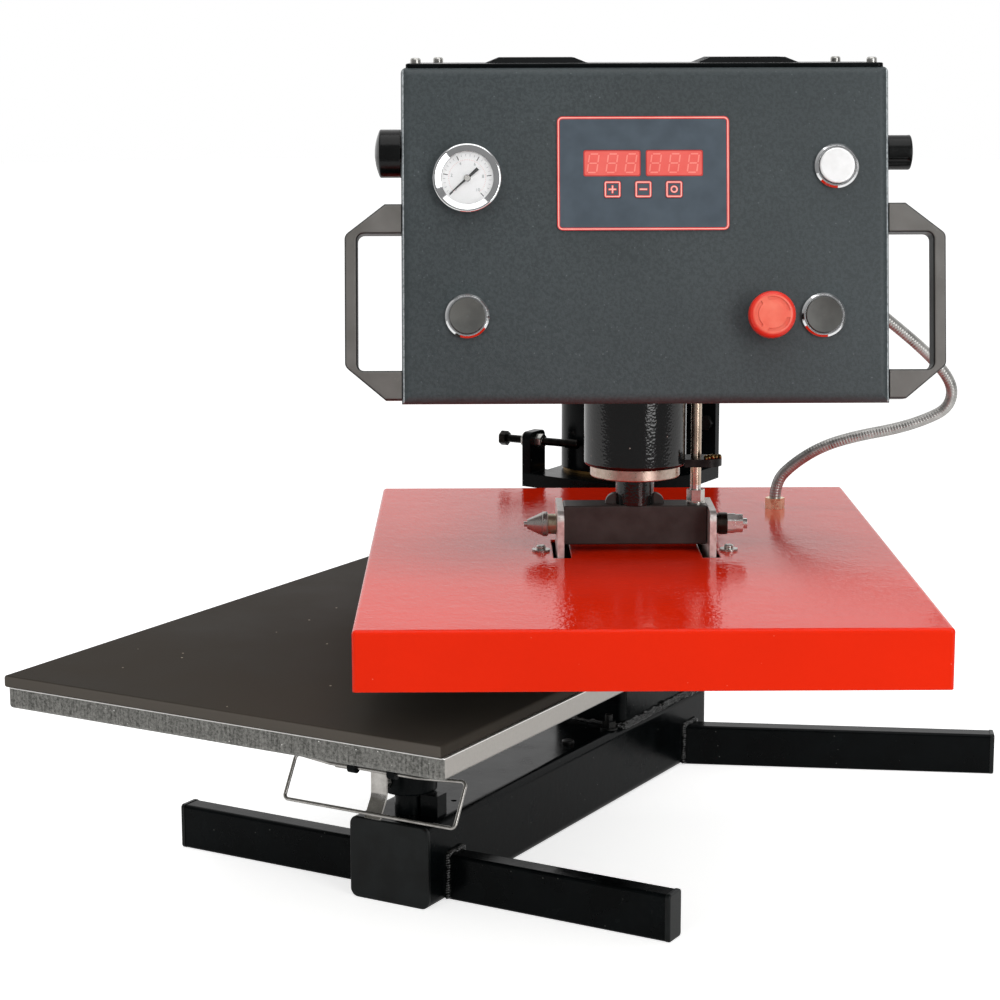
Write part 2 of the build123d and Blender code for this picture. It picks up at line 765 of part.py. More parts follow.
def box_profile(inset=0.0):
    """The control box's side outline: level top and bottom, upright back, tilted front."""
    t = radians(panel_tilt)
    rise = panel_length * cos(t)
    run = panel_length * sin(t)
    top = panel_bottom + rise
    points = [
        (-panel_front, panel_bottom),
        (-panel_front + run, top),
        (-box_back, top),
        (-box_back, panel_bottom),
    ]
    face = make_face(Polyline(*points, close=True))
    return offset(face, -inset, kind=Kind.INTERSECTION) if inset else face


def build_box():
    """The control box: folded shell, back plate, louvred lid and screws."""
    half = box_width / 2
    shift = Pos(box_shift, 0, 0)
    top = panel_bottom + panel_length * cos(radians(panel_tilt))
    shell = extrude(Plane.YZ * box_profile(), half, both=True)
    shell = fillet(shell.faces().sort_by(Axis.Y)[0].edges(), box_corner)
    shell = fillet(shell.edges().filter_by(Axis.Y).group_by(Axis.Z)[-1], top_edge_round)
    hollow = extrude(Plane.YZ * box_profile(box_sheet), half - box_sheet, both=True)
    hollow = fillet(hollow.faces().sort_by(Axis.Y)[0].edges(), box_corner - box_sheet)
    hollow = fillet(hollow.edges().filter_by(Axis.Y).group_by(Axis.Z)[-1], top_edge_round - box_sheet)
    s = box_sheet
    back_bottom = panel_bottom + s
    back_top = top - s - top_edge_round
    open_back = block(-half + s, half - s, -box_back - 20, -box_back + 1, back_bottom, back_top)
    inset = lid_inset + 8
    open_top = block(-half + inset, half - inset, -panel_front + 62, -box_back - 10, top - 6, top + 1)
    shell -= hollow + open_back + open_top
    shell -= bar_x(9, -half - 1, -half + 10, side_knob_y, side_knob_z)
    shell -= bar_x(6, half - 10, half + 1, side_knob_y, side_knob_z)
    shell = shift * shell
    y = -swing_radius
    shell -= upright(barrel_d / 2 + 2, panel_bottom - 1, panel_bottom + 10, 0, y)
    shell -= upright(guide_rod_d / 2 + 2, panel_bottom - 1, panel_bottom + 10, guide_rod_x, y)
    for x, s_up, radius in panel_holes():
        shell -= on_panel(Cylinder(radius, 20), x, s_up)
    nodes["control_box"] = shell

    back = block(-half + s, half - s, -box_back - s, -box_back, back_bottom, back_top)
    arm_half = arm_width / 2 + 1
    arm_top = arm_bottom + arm_height + 1
    slot = block(-arm_half, arm_half, -box_back - 10, -box_back + 10, arm_bottom - 1, arm_top)
    inlets = bar_y(inlet_tail_d / 2 + 2, -box_back - 10, -box_back + 10, inlet_x, inlet_z)
    inlets += mains_block(0, -10, 10)
    start = conduit_route[0]
    inlets += bar_y(6, -box_back - 10, -box_back + 10, start[0], start[2])
    nodes["box_back"] = shift * back - slot - inlets

    lid_half = half - lid_inset
    lid = block(-lid_half, lid_half, -panel_front + 48, -box_back - 2, top, top + lid_rise)
    lid = fillet(lid.edges().filter_by(Axis.Z), 4)
    lid = fillet(lid.faces().sort_by(Axis.Z)[-1].edges(), 1.2)
    for row in range(louvre_rows):
        y_row = -box_back - 24 - row * louvre_pitch
        for side in (-1, 1):
            x = side * (louvre_inner + louvre_length / 2)
            lid += Pos(x, y_row, top + lid_rise) * louvre()
    nodes["top_cover"] = shift * lid

    screw = stepped((lid_screw_d / 2, 0, lid_screw_rise))
    screw = fillet(screw.edges().sort_by(Axis.Z)[-1], 1.8)
    for width, length in ((1.2, 4.6), (4.6, 1.2)):
        screw -= Pos(0, 0, lid_screw_rise) * Box(width, length, 3)
    screws = []
    for x, y_screw in lid_screw_places():
        for side in (-1, 1):
            screws.append(Pos(side * x + box_shift, y_screw, top + lid_rise) * screw)
    nodes["lid_screws"] = Compound(children=screws)

    rear = -box_back
    air = bar_y(inlet_tail_d / 2 + 2, rear - 8, rear, inlet_x, inlet_z)
    air += bar_y(inlet_nut_d / 2, rear, rear + rear_flange, inlet_x, inlet_z)
    air += bar_y(inlet_tail_d / 2, rear + rear_flange, rear + rear_flange + inlet_tail, inlet_x, inlet_z)
    air -= bar_y(inlet_bore / 2, rear - 9, rear + 2 * inlet_tail, inlet_x, inlet_z)
    mains = mains_block(0, -mains_depth, 0) + mains_block(mains_flange, 0, rear_flange)
    mains -= mains_block(-mains_flange, rear_flange - mains_depth + 2, rear_flange + 1)
    gland = bar_y(6, rear - 8, rear, start[0], start[2])
    nut = hexagon(fitting_across, gland_length)
    gland += Pos(start[0], rear + gland_length / 2, start[2]) * Rot(90, 0, 0) * nut
    nodes["rear_fittings"] = Compound(children=[air, mains, gland])


def mains_block(margin, near, far):
    """A block round the mains inlet, grown by a margin each way, between two depths from the back."""
    middle = Pos(-inlet_x, (near + far) / 2 - box_back, inlet_z)
    return middle * Box(mains_width + 2 * margin, far - near, mains_height + 2 * margin)


def lid_screw_places():
    """Half spacing and depth of the screws along the lid's front and rear."""
    half = box_width / 2
    front = (half - lid_screw_margin_front, -panel_front + 60)
    rear = (half - lid_screw_margin_rear, -box_back - 12)
    return [front, rear]


def louvre():
    """One pressed vent: a low hump with sloping ends, on z = 0."""
    base = Rectangle(louvre_length, louvre_width)
    crown = Pos(0, 0, louvre_height - 1) * Rectangle(louvre_length - 20, louvre_width - 5)
    return loft([base, crown])


def panel_holes():
    """Centre and radius of each round hole in the front panel."""
    return [
        (gauge_x, gauge_s, gauge_d / 2 - 4),
        (start_left_x, start_s, 11.0),
        (start_right_x, start_s, 11.0),
        (estop_x, estop_s, 11.0),
        (power_x, power_s, 11.0),
    ]


def handle(side):
    """A cast grab handle on one side wall, drawn in the panel's own frame."""
    wall = box_width / 2
    outer = wall + handle_reach
    bar = handle_bar
    outline = [
        (wall, handle_bottom),
        (wall + handle_slope, handle_bottom),
        (outer, handle_window_bottom + 3),
        (outer, handle_window_top - 1),
        (wall + handle_slope, handle_top),
        (wall, handle_top),
    ]
    face = make_face(Polyline(*outline, close=True))
    face = fillet(face.vertices().group_by(Axis.X)[-1], 6)
    width = handle_reach - bar
    height = handle_window_top - handle_window_bottom
    mid = (handle_window_top + handle_window_bottom) / 2
    window = Pos(wall + width / 2 - 6, mid) * RectangleRounded(width + 12, height, 5)
    grip = extrude(face - window, -handle_depth)
    front_edges = grip.faces().sort_by(Axis.Z)[-1].edges()
    at_wall = front_edges.filter_by_position(Axis.X, wall - 1, wall + 0.01)
    grip = fillet(front_edges - at_wall, handle_edge)
    return Pos(box_shift, 0, 0) * on_side(panel_frame(rise=-handle_setback) * grip, side)


def build_panel():
    """The handles, the pressure gauge, the keypad and the push buttons' bezels."""
    nodes["handle_right"] = handle(1)
    nodes["handle_left"] = handle(-1)

    radius = gauge_d / 2
    dial = dial_d / 2
    case = stepped((radius, 0, gauge_rise), (radius - 4.2, -26, 0))
    case = fillet(case.edges().sort_by(Axis.Z)[-1], 2)
    case -= Pos(0, 0, gauge_rise - dial_depth / 2) * Cylinder(dial, dial_depth)
    case -= Pos(0, 0, gauge_rise - glass_depth / 2) * Cone(dial, radius - gauge_rim, glass_depth)
    nodes["gauge_case"] = on_panel(case, gauge_x, gauge_s)
    glass = Pos(0, 0, gauge_rise - glass_depth - dial_glass / 2) * Cylinder(dial, dial_glass)
    nodes["gauge_glass"] = on_panel(glass, gauge_x, gauge_s)

    film = RectangleRounded(keypad_width, keypad_height, 4)
    film = extrude(film, keypad_thickness)
    pocket = extrude(RectangleRounded(key_size, key_size, 1.5), keypad_thickness)
    for place in (-key_pitch, 0, key_pitch):
        film -= Pos(place, key_s - keypad_s) * pocket
    for side in (-1, 1):
        x = side * (window_width + window_gap) / 2
        film -= Pos(x, window_s - keypad_s, keypad_thickness) * Box(window_width, window_height, 0.8)
    nodes["keypad_panel"] = on_panel(film, keypad_x, keypad_s)
    key_side = key_size - 2 * key_gap
    key = Pos(0, 0, key_rise) * extrude(RectangleRounded(key_side, key_side, 1.4), keypad_thickness)
    names = ["key_plus", "key_minus", "key_set"]
    for name, place in zip(names, (-key_pitch, 0, key_pitch)):
        nodes[name] = on_panel(key, keypad_x + place, key_s)

    bezels = []
    for x, s in ((start_left_x, start_s), (start_right_x, start_s), (power_x, power_s)):
        ring = stepped((bezel_d / 2, 0, bezel_rise), (10.9, -22, 0))
        ring = chamfer(ring.edges().sort_by(Axis.Z)[-1], 1.5)
        ring -= Pos(0, 0, bezel_rise / 2 + 0.5) * Cylinder(start_cap_d / 2 + 0.4, bezel_rise)
        ring -= Pos(0, 0, -8) * Cylinder(5.2, 17)
        bezels.append(on_panel(ring, x, s))
    collar = stepped((14, 0, 3), (10.9, -22, 0))
    collar -= Pos(0, 0, -5) * Cylinder(estop_stem_d / 2 + seat_gap, 18)
    bezels.append(on_panel(collar, estop_x, estop_s))
    nodes["button_bezels"] = Compound(children=bezels)


def push_cap(d, rise):
    """A push button: a cap in its bezel with a plunger behind."""
    cap = stepped((d / 2, bezel_rise - 0.4, rise), (5.0, -4, bezel_rise - 0.4))
    return fillet(cap.edges().sort_by(Axis.Z)[-1], 1.2)


def build_controls():
    """Everything on the box that an operator's hand or the air moves."""
    start_rise = bezel_rise + start_travel - 0.5
    cap = push_cap(start_cap_d, start_rise)
    dish = Pos(0, 0, start_rise + 58.4) * Sphere(60)
    cap -= dish
    nodes["start_button_left"] = on_panel(cap, start_left_x, start_s)
    nodes["start_button_right"] = on_panel(cap, start_right_x, start_s)
    nodes["power_button"] = on_panel(push_cap(power_cap_d - 1, bezel_rise + power_travel), power_x, power_s)

    mushroom = stepped((estop_d / 2, 14, estop_rise), (12.5, 9, 14))
    mushroom = fillet(mushroom.edges().sort_by(Axis.Z)[-1], 4)
    ring = Pos(0, 0, estop_rise) * (Cylinder(12.6, 1.8) - Cylinder(10.2, 1.8))
    for turn in (0, 120, 240):
        ring -= Rot(0, 0, turn) * Pos(12, 0, estop_rise) * Box(6, 5, 4)
    mushroom -= Pos(0, 0, 13) * Cylinder(estop_spigot_d / 2 + running_gap, 10)
    nodes["estop_button"] = on_panel(mushroom - ring, estop_x, estop_s)
    stem = stepped((estop_stem_d / 2, -7, 9), (estop_spigot_d / 2, 9, 18))
    nodes["estop_stem"] = on_panel(stem, estop_x, estop_s)

    pointer = Pos(0, 0, gauge_rise - dial_depth + 1)
    half_tail = needle_width / 2
    outline = [(-needle_tail, -half_tail), (-needle_tail, half_tail), (needle_tip, 0.3), (needle_tip, -0.3)]
    needle = pointer * extrude(make_face(Polyline(*outline, close=True)), 0.5)
    needle += pointer * extrude(Circle(2.4), 1)
    aim = degrees(atan2(-126, -141))
    nodes["gauge_needle"] = on_panel(Rot(0, 0, aim) * needle, gauge_x, gauge_s)

    half = box_width / 2
    nodes["regulator_knob"] = side_knob(regulator_knob_d, -1, half)
    nodes["flow_knob"] = side_knob(flow_knob_d, 1, half, flutes=3)


def side_knob(d, side, wall, flutes=0):
    """A round knob on a side wall with a domed end, finger flutes that stop short of it and a spindle."""
    knob = stepped((d / 2, 0.6, side_knob_reach), (4.0, -10, 0.6))
    knob &= Pos(0, 0, side_knob_reach - knob_dome) * Sphere(knob_dome)
    rims = [edge for edge in knob.edges().filter_by(GeomType.CIRCLE) if abs(edge.radius - d / 2) < 0.1]
    knob = fillet(ShapeList(rims).sort_by(Axis.Z)[-1], 1.5)
    flute_length = side_knob_reach - flute_stop
    flute = Pos(0, 0, flute_length / 2) * Cylinder(flute_d / 2, flute_length)
    flute += Pos(0, 0, flute_length) * Sphere(flute_d / 2)
    for k in range(flutes):
        turn = Rot(0, 0, first_flute + 360 * k / flutes)
        knob -= turn * Pos((d + flute_d) / 2 - flute_depth, 0, -0.5) * flute
    return Pos(side * wall + box_shift, side_knob_y, side_knob_z) * Rot(0, side * 90, 0) * knob


def build_inside():
    """The parts in the control box: regulator, solenoid valve, control board, flow valve."""
    half = box_width / 2
    left = -half + box_sheet
    body = bar_x(8.9, -half, left, side_knob_y, side_knob_z)
    y = side_knob_y
    body += block(left, left + regulator_body, y - 8, y + 20, side_knob_z - 20, side_knob_z + 14)
    body -= bar_x(4.2, -half - 1, left + 10, side_knob_y, side_knob_z)
    right = half - box_sheet
    flow = bar_x(5.9, right, half, side_knob_y, side_knob_z)
    flow += block(right - 19, right, y - 10, y + 10, side_knob_z - 14, side_knob_z + 10)
    flow -= bar_x(4.2, right - 10, half + 1, side_knob_y, side_knob_z)
    rear = -box_back - box_sheet
    valve_bottom = inlet_z + 30
    valve_top = valve_bottom + valve_height
    valve = block(inlet_x + 10 - valve_width, inlet_x + 10, rear - valve_depth, rear, valve_bottom, valve_top)
    valve += block(inlet_x - 36, inlet_x - 4, rear - valve_depth + 4, rear - 4, valve_top, valve_top + 35)
    valve = fillet(valve.edges().filter_by(Axis.Y), 2)
    shift = Pos(box_shift, 0, 0)
    nodes["air_valves"] = Compound(children=[shift * body, shift * flow, valve])

    high = -board_setback
    low = high - board_thickness
    half_w = board_width / 2
    half_h = board_height / 2
    board = block(-half_w, half_w, -half_h, half_h, low, high)
    for x in (8 - half_w, half_w - 8):
        for up in (8 - half_h, half_h - 8):
            board += Pos(x, up, (high - box_sheet) / 2) * Cylinder(3, -high - box_sheet)
    board += block(-30, 10, -10, 24, low - 16, low)
    board = on_panel(board, 0, keypad_s)
    floor = panel_bottom + box_sheet
    x0 = box_shift - half + 26
    y0 = rear - transformer_depth
    transformer = block(x0, x0 + transformer_width, y0, rear, floor, floor + transformer_height)
    nodes["electronics"] = Compound(children=[board, fillet(transformer.edges().filter_by(Axis.Z), 3)])


def build_conduit():
    """The metal conduit from the box's back, round its side, down to the heat plate."""
    points = [Vector(*place) for place in conduit_route]
    radii = []
    for before, here, after in zip(points, points[1:], points[2:]):
        turn = (here - before).get_angle(after - here)
        shorter = min((here - before).length, (after - here).length)
        radii.append(0.45 * shorter / tan(radians(turn / 2)))
    path = FilletPolyline(*conduit_route, radius=radii)
    tube = sweep(Plane(path @ 0, z_dir=path % 0) * Circle(conduit_d / 2), path)
    share = tube.volume / (path.length * pi * conduit_d ** 2 / 4)
    print("conduit length", round(path.length, 1), "volume against section times length", round(share, 4))
    print("conduit bend radii", [round(r, 1) for r in radii])
    nodes["conduit"] = tube


build_stand()
build_column()
build_platen()
build_head_frame()
build_press()
build_heat_plate()
build_box()
build_panel()
build_controls()
build_inside()
build_conduit()

os.makedirs("parts", exist_ok=True)
for name, shape in nodes.items():
    export_step(shape, f"parts/{name}.step")
print(len(nodes), "nodes")
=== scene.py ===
"""Finishes, welds, dial, keypad, conduit, pad and stage for the swing-away pneumatic heat press."""

from math import cos, pi, radians, sin

import bpy
from mathutils import Matrix, Vector


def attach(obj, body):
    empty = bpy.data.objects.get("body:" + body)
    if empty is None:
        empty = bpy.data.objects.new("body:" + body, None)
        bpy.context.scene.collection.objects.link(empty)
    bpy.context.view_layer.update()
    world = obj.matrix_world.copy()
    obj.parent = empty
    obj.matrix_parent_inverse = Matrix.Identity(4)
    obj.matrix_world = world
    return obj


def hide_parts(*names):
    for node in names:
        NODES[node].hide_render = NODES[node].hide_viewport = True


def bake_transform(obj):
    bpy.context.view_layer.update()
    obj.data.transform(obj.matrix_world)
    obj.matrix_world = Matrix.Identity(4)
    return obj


bl_info = {
    "name": "Pneumatic heat press",
    "version": (1, 0, 0),
    "blender": (4, 5, 0),
    "location": "View3D > Sidebar > Heat Press",
    "description": "Dresses the packed heat press and sets its stage",
    "category": "Object",
}

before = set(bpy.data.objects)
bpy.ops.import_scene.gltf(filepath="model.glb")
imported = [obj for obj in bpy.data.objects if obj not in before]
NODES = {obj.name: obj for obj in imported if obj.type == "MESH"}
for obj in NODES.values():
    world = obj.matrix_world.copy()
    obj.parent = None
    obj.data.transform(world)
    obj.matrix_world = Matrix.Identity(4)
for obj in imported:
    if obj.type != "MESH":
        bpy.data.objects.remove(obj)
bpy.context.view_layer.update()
MM = 0.001

# The tilted front panel of the control box: x to the right, y up along it, z out of it
PANEL_LEAN = radians(10.5)
PANEL_FRONT = 452.5 * MM
PANEL_BOTTOM = 420.5 * MM
PANEL_OUT = (0, -cos(PANEL_LEAN), sin(PANEL_LEAN))

# The stand is turned under the head, which looks straight ahead
SWING_OPEN = radians(30.4)
STAND_RIGHT = (cos(SWING_OPEN), -sin(SWING_OPEN), 0)
STAND_FRONT = (-sin(SWING_OPEN), -cos(SWING_OPEN), 0)

# Where one finish ends and the next begins, in millimetres
BOX_LEFT = -174.05
BOX_RIGHT = 178.45
# The box front's painted highlight and wear reach this far in from its sides
FOLD_WEAR_AND_HIGHLIGHT = 2.0
# The platen's top edge is painted as a highlight from this height up
PLATEN_EDGE = 206.3
GUIDE_NUT_TOP = 346.0
MAINS_INLET_RIGHT = -30.0
PIVOT_RING_LEFT = -66.3
PIVOT_COLLAR_LEFT = 61.8
PIVOT_COLLAR_RIGHT = 70.7
STOP_NUTS = ((-62.2, -55.8), (-48.2, -41.8))

# A weld's ripples: their spacing in millimetres, their faces, their squash and how uneven they are
RIPPLE_PITCH = 2.0
RIPPLE_SIDES = 10
RIPPLE_RINGS = 6
RIPPLE_SQUASH = (0.55, 1.0, 0.85)
UNEVEN_SIZE = 5.0
UNEVEN_SHARE = 0.45


def panel_matrix():
    """Turns a piece drawn flat on XY to the front panel."""
    up = Vector((0, sin(PANEL_LEAN), cos(PANEL_LEAN)))
    turn = Matrix(((1, 0, 0), up, Vector(PANEL_OUT))).transposed().to_4x4()
    return Matrix.Translation((0, -PANEL_FRONT, PANEL_BOTTOM)) @ turn


def on_panel(x, s, rise=0.0):
    """A place on the front panel, in millimetres from its centre line and its lower edge."""
    return panel_matrix() @ Matrix.Translation((x * MM, s * MM, rise * MM))


def in_stand():
    """The turn of the stand under the head."""
    return Matrix.Rotation(-SWING_OPEN, 4, "Z")


# Node trees

NOISE = "ShaderNodeTexNoise"
CELLS = "ShaderNodeTexVoronoi"
RAMP = "ShaderNodeValToRGB"
RANGE = "ShaderNodeMapRange"
MIX = "ShaderNodeMix"
MATH = "ShaderNodeMath"
COORDINATES = "ShaderNodeTexCoord"

# A speck has faded at this share of its size, and a mask changes over these millimetres each side of its limit
SPECK_BLUR = 1.4
MASK_BLUR = 0.2


def linear(colour):
    """An sRGB hex colour as linear red, green, blue and alpha."""
    values = [int(colour[k:k + 2], 16) / 255 for k in (1, 3, 5)]
    light = [v / 12.92 if v <= 0.04045 else ((v + 0.055) / 1.055) ** 2.4 for v in values]
    return (*light, 1.0)


def add_node(tree, kind, settings=None, links=None, feeds=None):
    """Adds one node, with its properties, ramp and socket values, and its links in and out."""
    node = tree.nodes.new(kind)
    for key, value in (settings or {}).items():
        if key == "stops":
            for point, (position, colour) in zip(node.color_ramp.elements, value):
                point.position, point.color = position, colour
        elif isinstance(key, str) and hasattr(node, key):
            setattr(node, key, value)
        else:
            node.inputs[key].default_value = value
    for key, source in (links or {}).items():
        tree.links.new(source, node.inputs[key])
    for key, socket in (feeds or {}).items():
        tree.links.new(node.outputs[key], socket)
    return node


def grains(size_mm, detail=2.0, roughness=0.5):
    """Settings of a noise whose grains are about size_mm across.

    Mould grain, sponge cells, print and the marks of drawing and turning are finer than this on the real
    pieces. They are drawn about a millimetre across, because finer ones don't show in the render.
    """
    return {"Scale": 1000.0 / size_mm, "Detail": detail, "Roughness": roughness}


def between(low, high, stops=(0.3, 0.7)):
    """Settings of a ramp between two hex colours."""
    return {"stops": tuple(zip(stops, (linear(low), linear(high))))}


def around(colour, spread, stops=(0.3, 0.7)):
    """Settings of a ramp from a little darker to a little lighter than a linear colour."""
    shades = [[min(1.0, value * share) for value in tuple(colour)[:3]] for share in (1 - spread, 1 + spread)]
    return {"stops": tuple((stop, (*shade, 1.0)) for stop, shade in zip(stops, shades))}


def span(low, high, to_low, to_high):
    """Settings that map one range of numbers to another."""
    return {"From Min": low, "From Max": high, "To Min": to_low, "To Max": to_high}


def tinted(colour):
    """Settings of a mix that lays a hex colour over another colour."""
    return {"data_type": "RGBA", 7: linear(colour)}


def new_material(name, shader):
    """A material with an emptied tree, its shader and its output."""
    material = bpy.data.materials.new(name)
    material.use_nodes = True
    tree = material.node_tree
    tree.nodes.clear()
    surface = add_node(tree, "ShaderNodeBsdfPrincipled", shader)
    add_node(tree, "ShaderNodeOutputMaterial", links={"Surface": surface.outputs[0]})
    return material, tree, surface


def clouded(tree, place, grain, colours):
    """A cloudy pattern, and the colour that follows it."""
    cloud = add_node(tree, NOISE, grain, {"Vector": place}).outputs["Fac"]
    return cloud, add_node(tree, RAMP, colours, {"Fac": cloud}).outputs["Color"]


def relief(tree, surface, height, strength, depth_mm, edge_mm=0.0):
    """A relief of the given real depth, over edges that are rounded where a radius is given."""
    links = {"Height": height}
    if edge_mm:
        links["Normal"] = add_node(tree, "ShaderNodeBevel", {"samples": 4, "Radius": edge_mm * MM}).outputs["Normal"]
    settings = {"Strength": strength, "Distance": depth_mm * MM}
    add_node(tree, "ShaderNodeBump", settings, links, {"Normal": surface.inputs["Normal"]})


def grained(tree, surface, place, grain, strength, depth_mm, edge_mm=0.0):
    """The relief of a fine grain."""
    height = add_node(tree, NOISE, grain, {"Vector": place}).outputs["Fac"]
    relief(tree, surface, height, strength, depth_mm, edge_mm)


def drifting(name, shader, grain, colours, gloss, fine, strength, depth_mm, edge_mm=0.0):
    """A finish whose colour and gloss drift together, over a fine grain or over the drift's own relief."""
    material, tree, surface = new_material(name, shader)
    place = add_node(tree, COORDINATES).outputs["Object"]
    cloud, colour = clouded(tree, place, grain, colours)
    tree.links.new(colour, surface.inputs["Base Color"])
    add_node(tree, RANGE, gloss, {"Value": cloud}, {"Result": surface.inputs["Roughness"]})
    if fine:
        grained(tree, surface, place, fine, strength, depth_mm, edge_mm)
    else:
        relief(tree, surface, cloud, strength, depth_mm, edge_mm)
    return material


def specks(tree, place, spacing_mm, rarity, size):
    """A mask of small round specks, in the few cells whose random shade passes the rarity."""
    settings = {"Scale": 1000.0 / spacing_mm, "Randomness": 1.0}
    cells = add_node(tree, CELLS, settings, {"Vector": place}).outputs
    dot = add_node(tree, RANGE, span(size, size * SPECK_BLUR, 1.0, 0.0), {"Value": cells["Distance"]})
    few = add_node(tree, MATH, {"operation": "GREATER_THAN", 1: rarity}, {0: cells["Color"]})
    links = {0: dot.outputs["Result"], 1: few.outputs[0]}
    return add_node(tree, MATH, {"operation": "MULTIPLY"}, links).outputs[0]


def facing(tree, way, low, high):
    """A mask that is 1 where the surface faces a direction of the piece's own axes."""
    normal = add_node(tree, COORDINATES).outputs["Normal"]
    dot = add_node(tree, "ShaderNodeVectorMath", {"operation": "DOT_PRODUCT", 1: way}, {0: normal})
    return add_node(tree, RANGE, span(low, high, 0.0, 1.0), {"Value": dot.outputs["Value"]}).outputs["Result"]


def beyond(tree, place, axis, limit_mm, ends=(0.0, 1.0)):
    """A mask that changes from one end to the other where a coordinate of the surface passes a limit."""
    parts = add_node(tree, "ShaderNodeSeparateXYZ", links={"Vector": place})
    limits = ((limit_mm - MASK_BLUR) * MM, (limit_mm + MASK_BLUR) * MM)
    return add_node(tree, RANGE, span(*limits, *ends), {"Value": parts.outputs[axis]}).outputs["Result"]


def band(tree, distance, low_mm, high_mm):
    """A mask that is 1 where a distance lies between two limits."""
    blur = MASK_BLUR / 2
    settings = span((low_mm - blur) * MM, (low_mm + blur) * MM, 0.0, 1.0)
    past = add_node(tree, RANGE, settings, {"Value": distance}).outputs["Result"]
    settings = span((high_mm - blur) * MM, (high_mm + blur) * MM, 1.0, 0.0)
    short = add_node(tree, RANGE, settings, {"Value": distance}).outputs["Result"]
    return add_node(tree, MATH, {"operation": "MULTIPLY"}, {0: past, 1: short}).outputs[0]


# Finishes of the stand and its fittings

def gloss_black_powder_coat(colour):
    """Gloss black powder coat on welded tube: black from the front, mirroring only at a low angle."""
    shader = {"Roughness": 0.2, "IOR": 1.5, "Specular IOR Level": 0.07}
    material, tree, surface = new_material("Gloss black powder coat", shader)
    place = add_node(tree, COORDINATES).outputs["Object"]
    dust, coat = clouded(tree, place, grains(35.0, 4.0, 0.6), around(colour, 0.4, (0.35, 0.7)))
    grit = specks(tree, place, 7.0, 0.72, 0.07)
    add_node(tree, MIX, tinted("#4a4b48"), {0: grit, 6: coat}, {2: surface.inputs["Base Color"]})
    add_node(tree, RANGE, span(0.3, 0.7, 0.15, 0.3), {"Value": dust}, {"Result": surface.inputs["Roughness"]})
    grained(tree, surface, place, grains(5.0), 0.25, 0.3, 0.8)
    return material


DIMPLES_PER_METRE = 560.0


def black_hammertone():
    """Black hammertone enamel on the cylinder: dimples 1.8 mm apart that break the light into pebbles."""
    shader = {"Roughness": 0.1, "IOR": 1.5, "Specular IOR Level": 0.5}
    material, tree, surface = new_material("Black hammertone enamel", shader)
    place = add_node(tree, COORDINATES).outputs["Object"]
    settings = {"feature": "SMOOTH_F1", "Scale": DIMPLES_PER_METRE, "Smoothness": 0.8, "Randomness": 1.0}
    dimples = add_node(tree, CELLS, settings, {"Vector": place}).outputs["Distance"]
    shade = add_node(tree, RAMP, between("#0e1010", "#060707", (0.1, 0.7)), {"Fac": dimples}).outputs["Color"]
    grit = specks(tree, place, 6.0, 0.7, 0.08)
    add_node(tree, MIX, tinted("#8d8a80"), {0: grit, 6: shade}, {2: surface.inputs["Base Color"]})
    relief(tree, surface, dimples, 0.24, 0.3, 0.5)
    return material


def satin_black_bar():
    """Satin brown-black paint on the crossbar, with a few white chips where tools have touched it."""
    shader = {"Roughness": 0.38, "IOR": 1.5, "Specular IOR Level": 0.3}
    material, tree, surface = new_material("Satin brown-black paint", shader)
    place = add_node(tree, COORDINATES).outputs["Object"]
    cloud, coat = clouded(tree, place, grains(22.0, 4.0, 0.6), between("#2c2725", "#3e3735"))
    chips = specks(tree, place, 8.0, 0.66, 0.07)
    add_node(tree, MIX, tinted("#d8d2c8"), {0: chips, 6: coat}, {2: surface.inputs["Base Color"]})
    add_node(tree, RANGE, span(0.3, 0.7, 0.3, 0.46), {"Value": cloud}, {"Result": surface.inputs["Roughness"]})
    grained(tree, surface, place, grains(2.0, 3.0), 0.2, 0.12, 0.6)
    return material


def bare_steel():
    """Bare cut steel plate: bright and satin, with short saw marks."""
    return drifting(
        "Bare cut steel", {"Metallic": 0.75, "Roughness": 0.4}, grains(4.0, 4.0, 0.6), between("#d2cac6", "#f6f0ec"),
        span(0.3, 0.7, 0.3, 0.5), grains(1.2, 3.0), 0.3, 0.1, 0.3)


def pivot_metals():
    """Turned metals in one row: a grey cone and flange, a brassy ring, a black collar and near-white nuts."""
    shader = {"Metallic": 0.8, "Roughness": 0.3}
    material, tree, surface = new_material("Turned steel and black oxide collar", shader)
    place = add_node(tree, COORDINATES).outputs["Object"]
    cloud, metal = clouded(tree, place, grains(9.0, 3.0), between("#aca7a2", "#c8c3be"))

    # From left to right: where the ring, the collar and the nuts begin
    steps = (
        (PIVOT_RING_LEFT, between("#b3a78f", "#cfc5ad")),
        (PIVOT_COLLAR_LEFT, between("#241f1c", "#3a322d")),
        (PIVOT_COLLAR_RIGHT, between("#e2e1dd", "#f4f3f0")),
    )
    for limit, colours in steps:
        past = beyond(tree, place, "X", limit)
        following = add_node(tree, RAMP, colours, {"Fac": cloud}).outputs["Color"]
        metal = add_node(tree, MIX, {"data_type": "RGBA"}, {0: past, 6: metal, 7: following}).outputs[2]
    tree.links.new(metal, surface.inputs["Base Color"])
    add_node(tree, RANGE, span(0.3, 0.7, 0.22, 0.4), {"Value": cloud}, {"Result": surface.inputs["Roughness"]})
    grained(tree, surface, place, grains(1.0), 0.15, 0.05, 0.3)
    return material


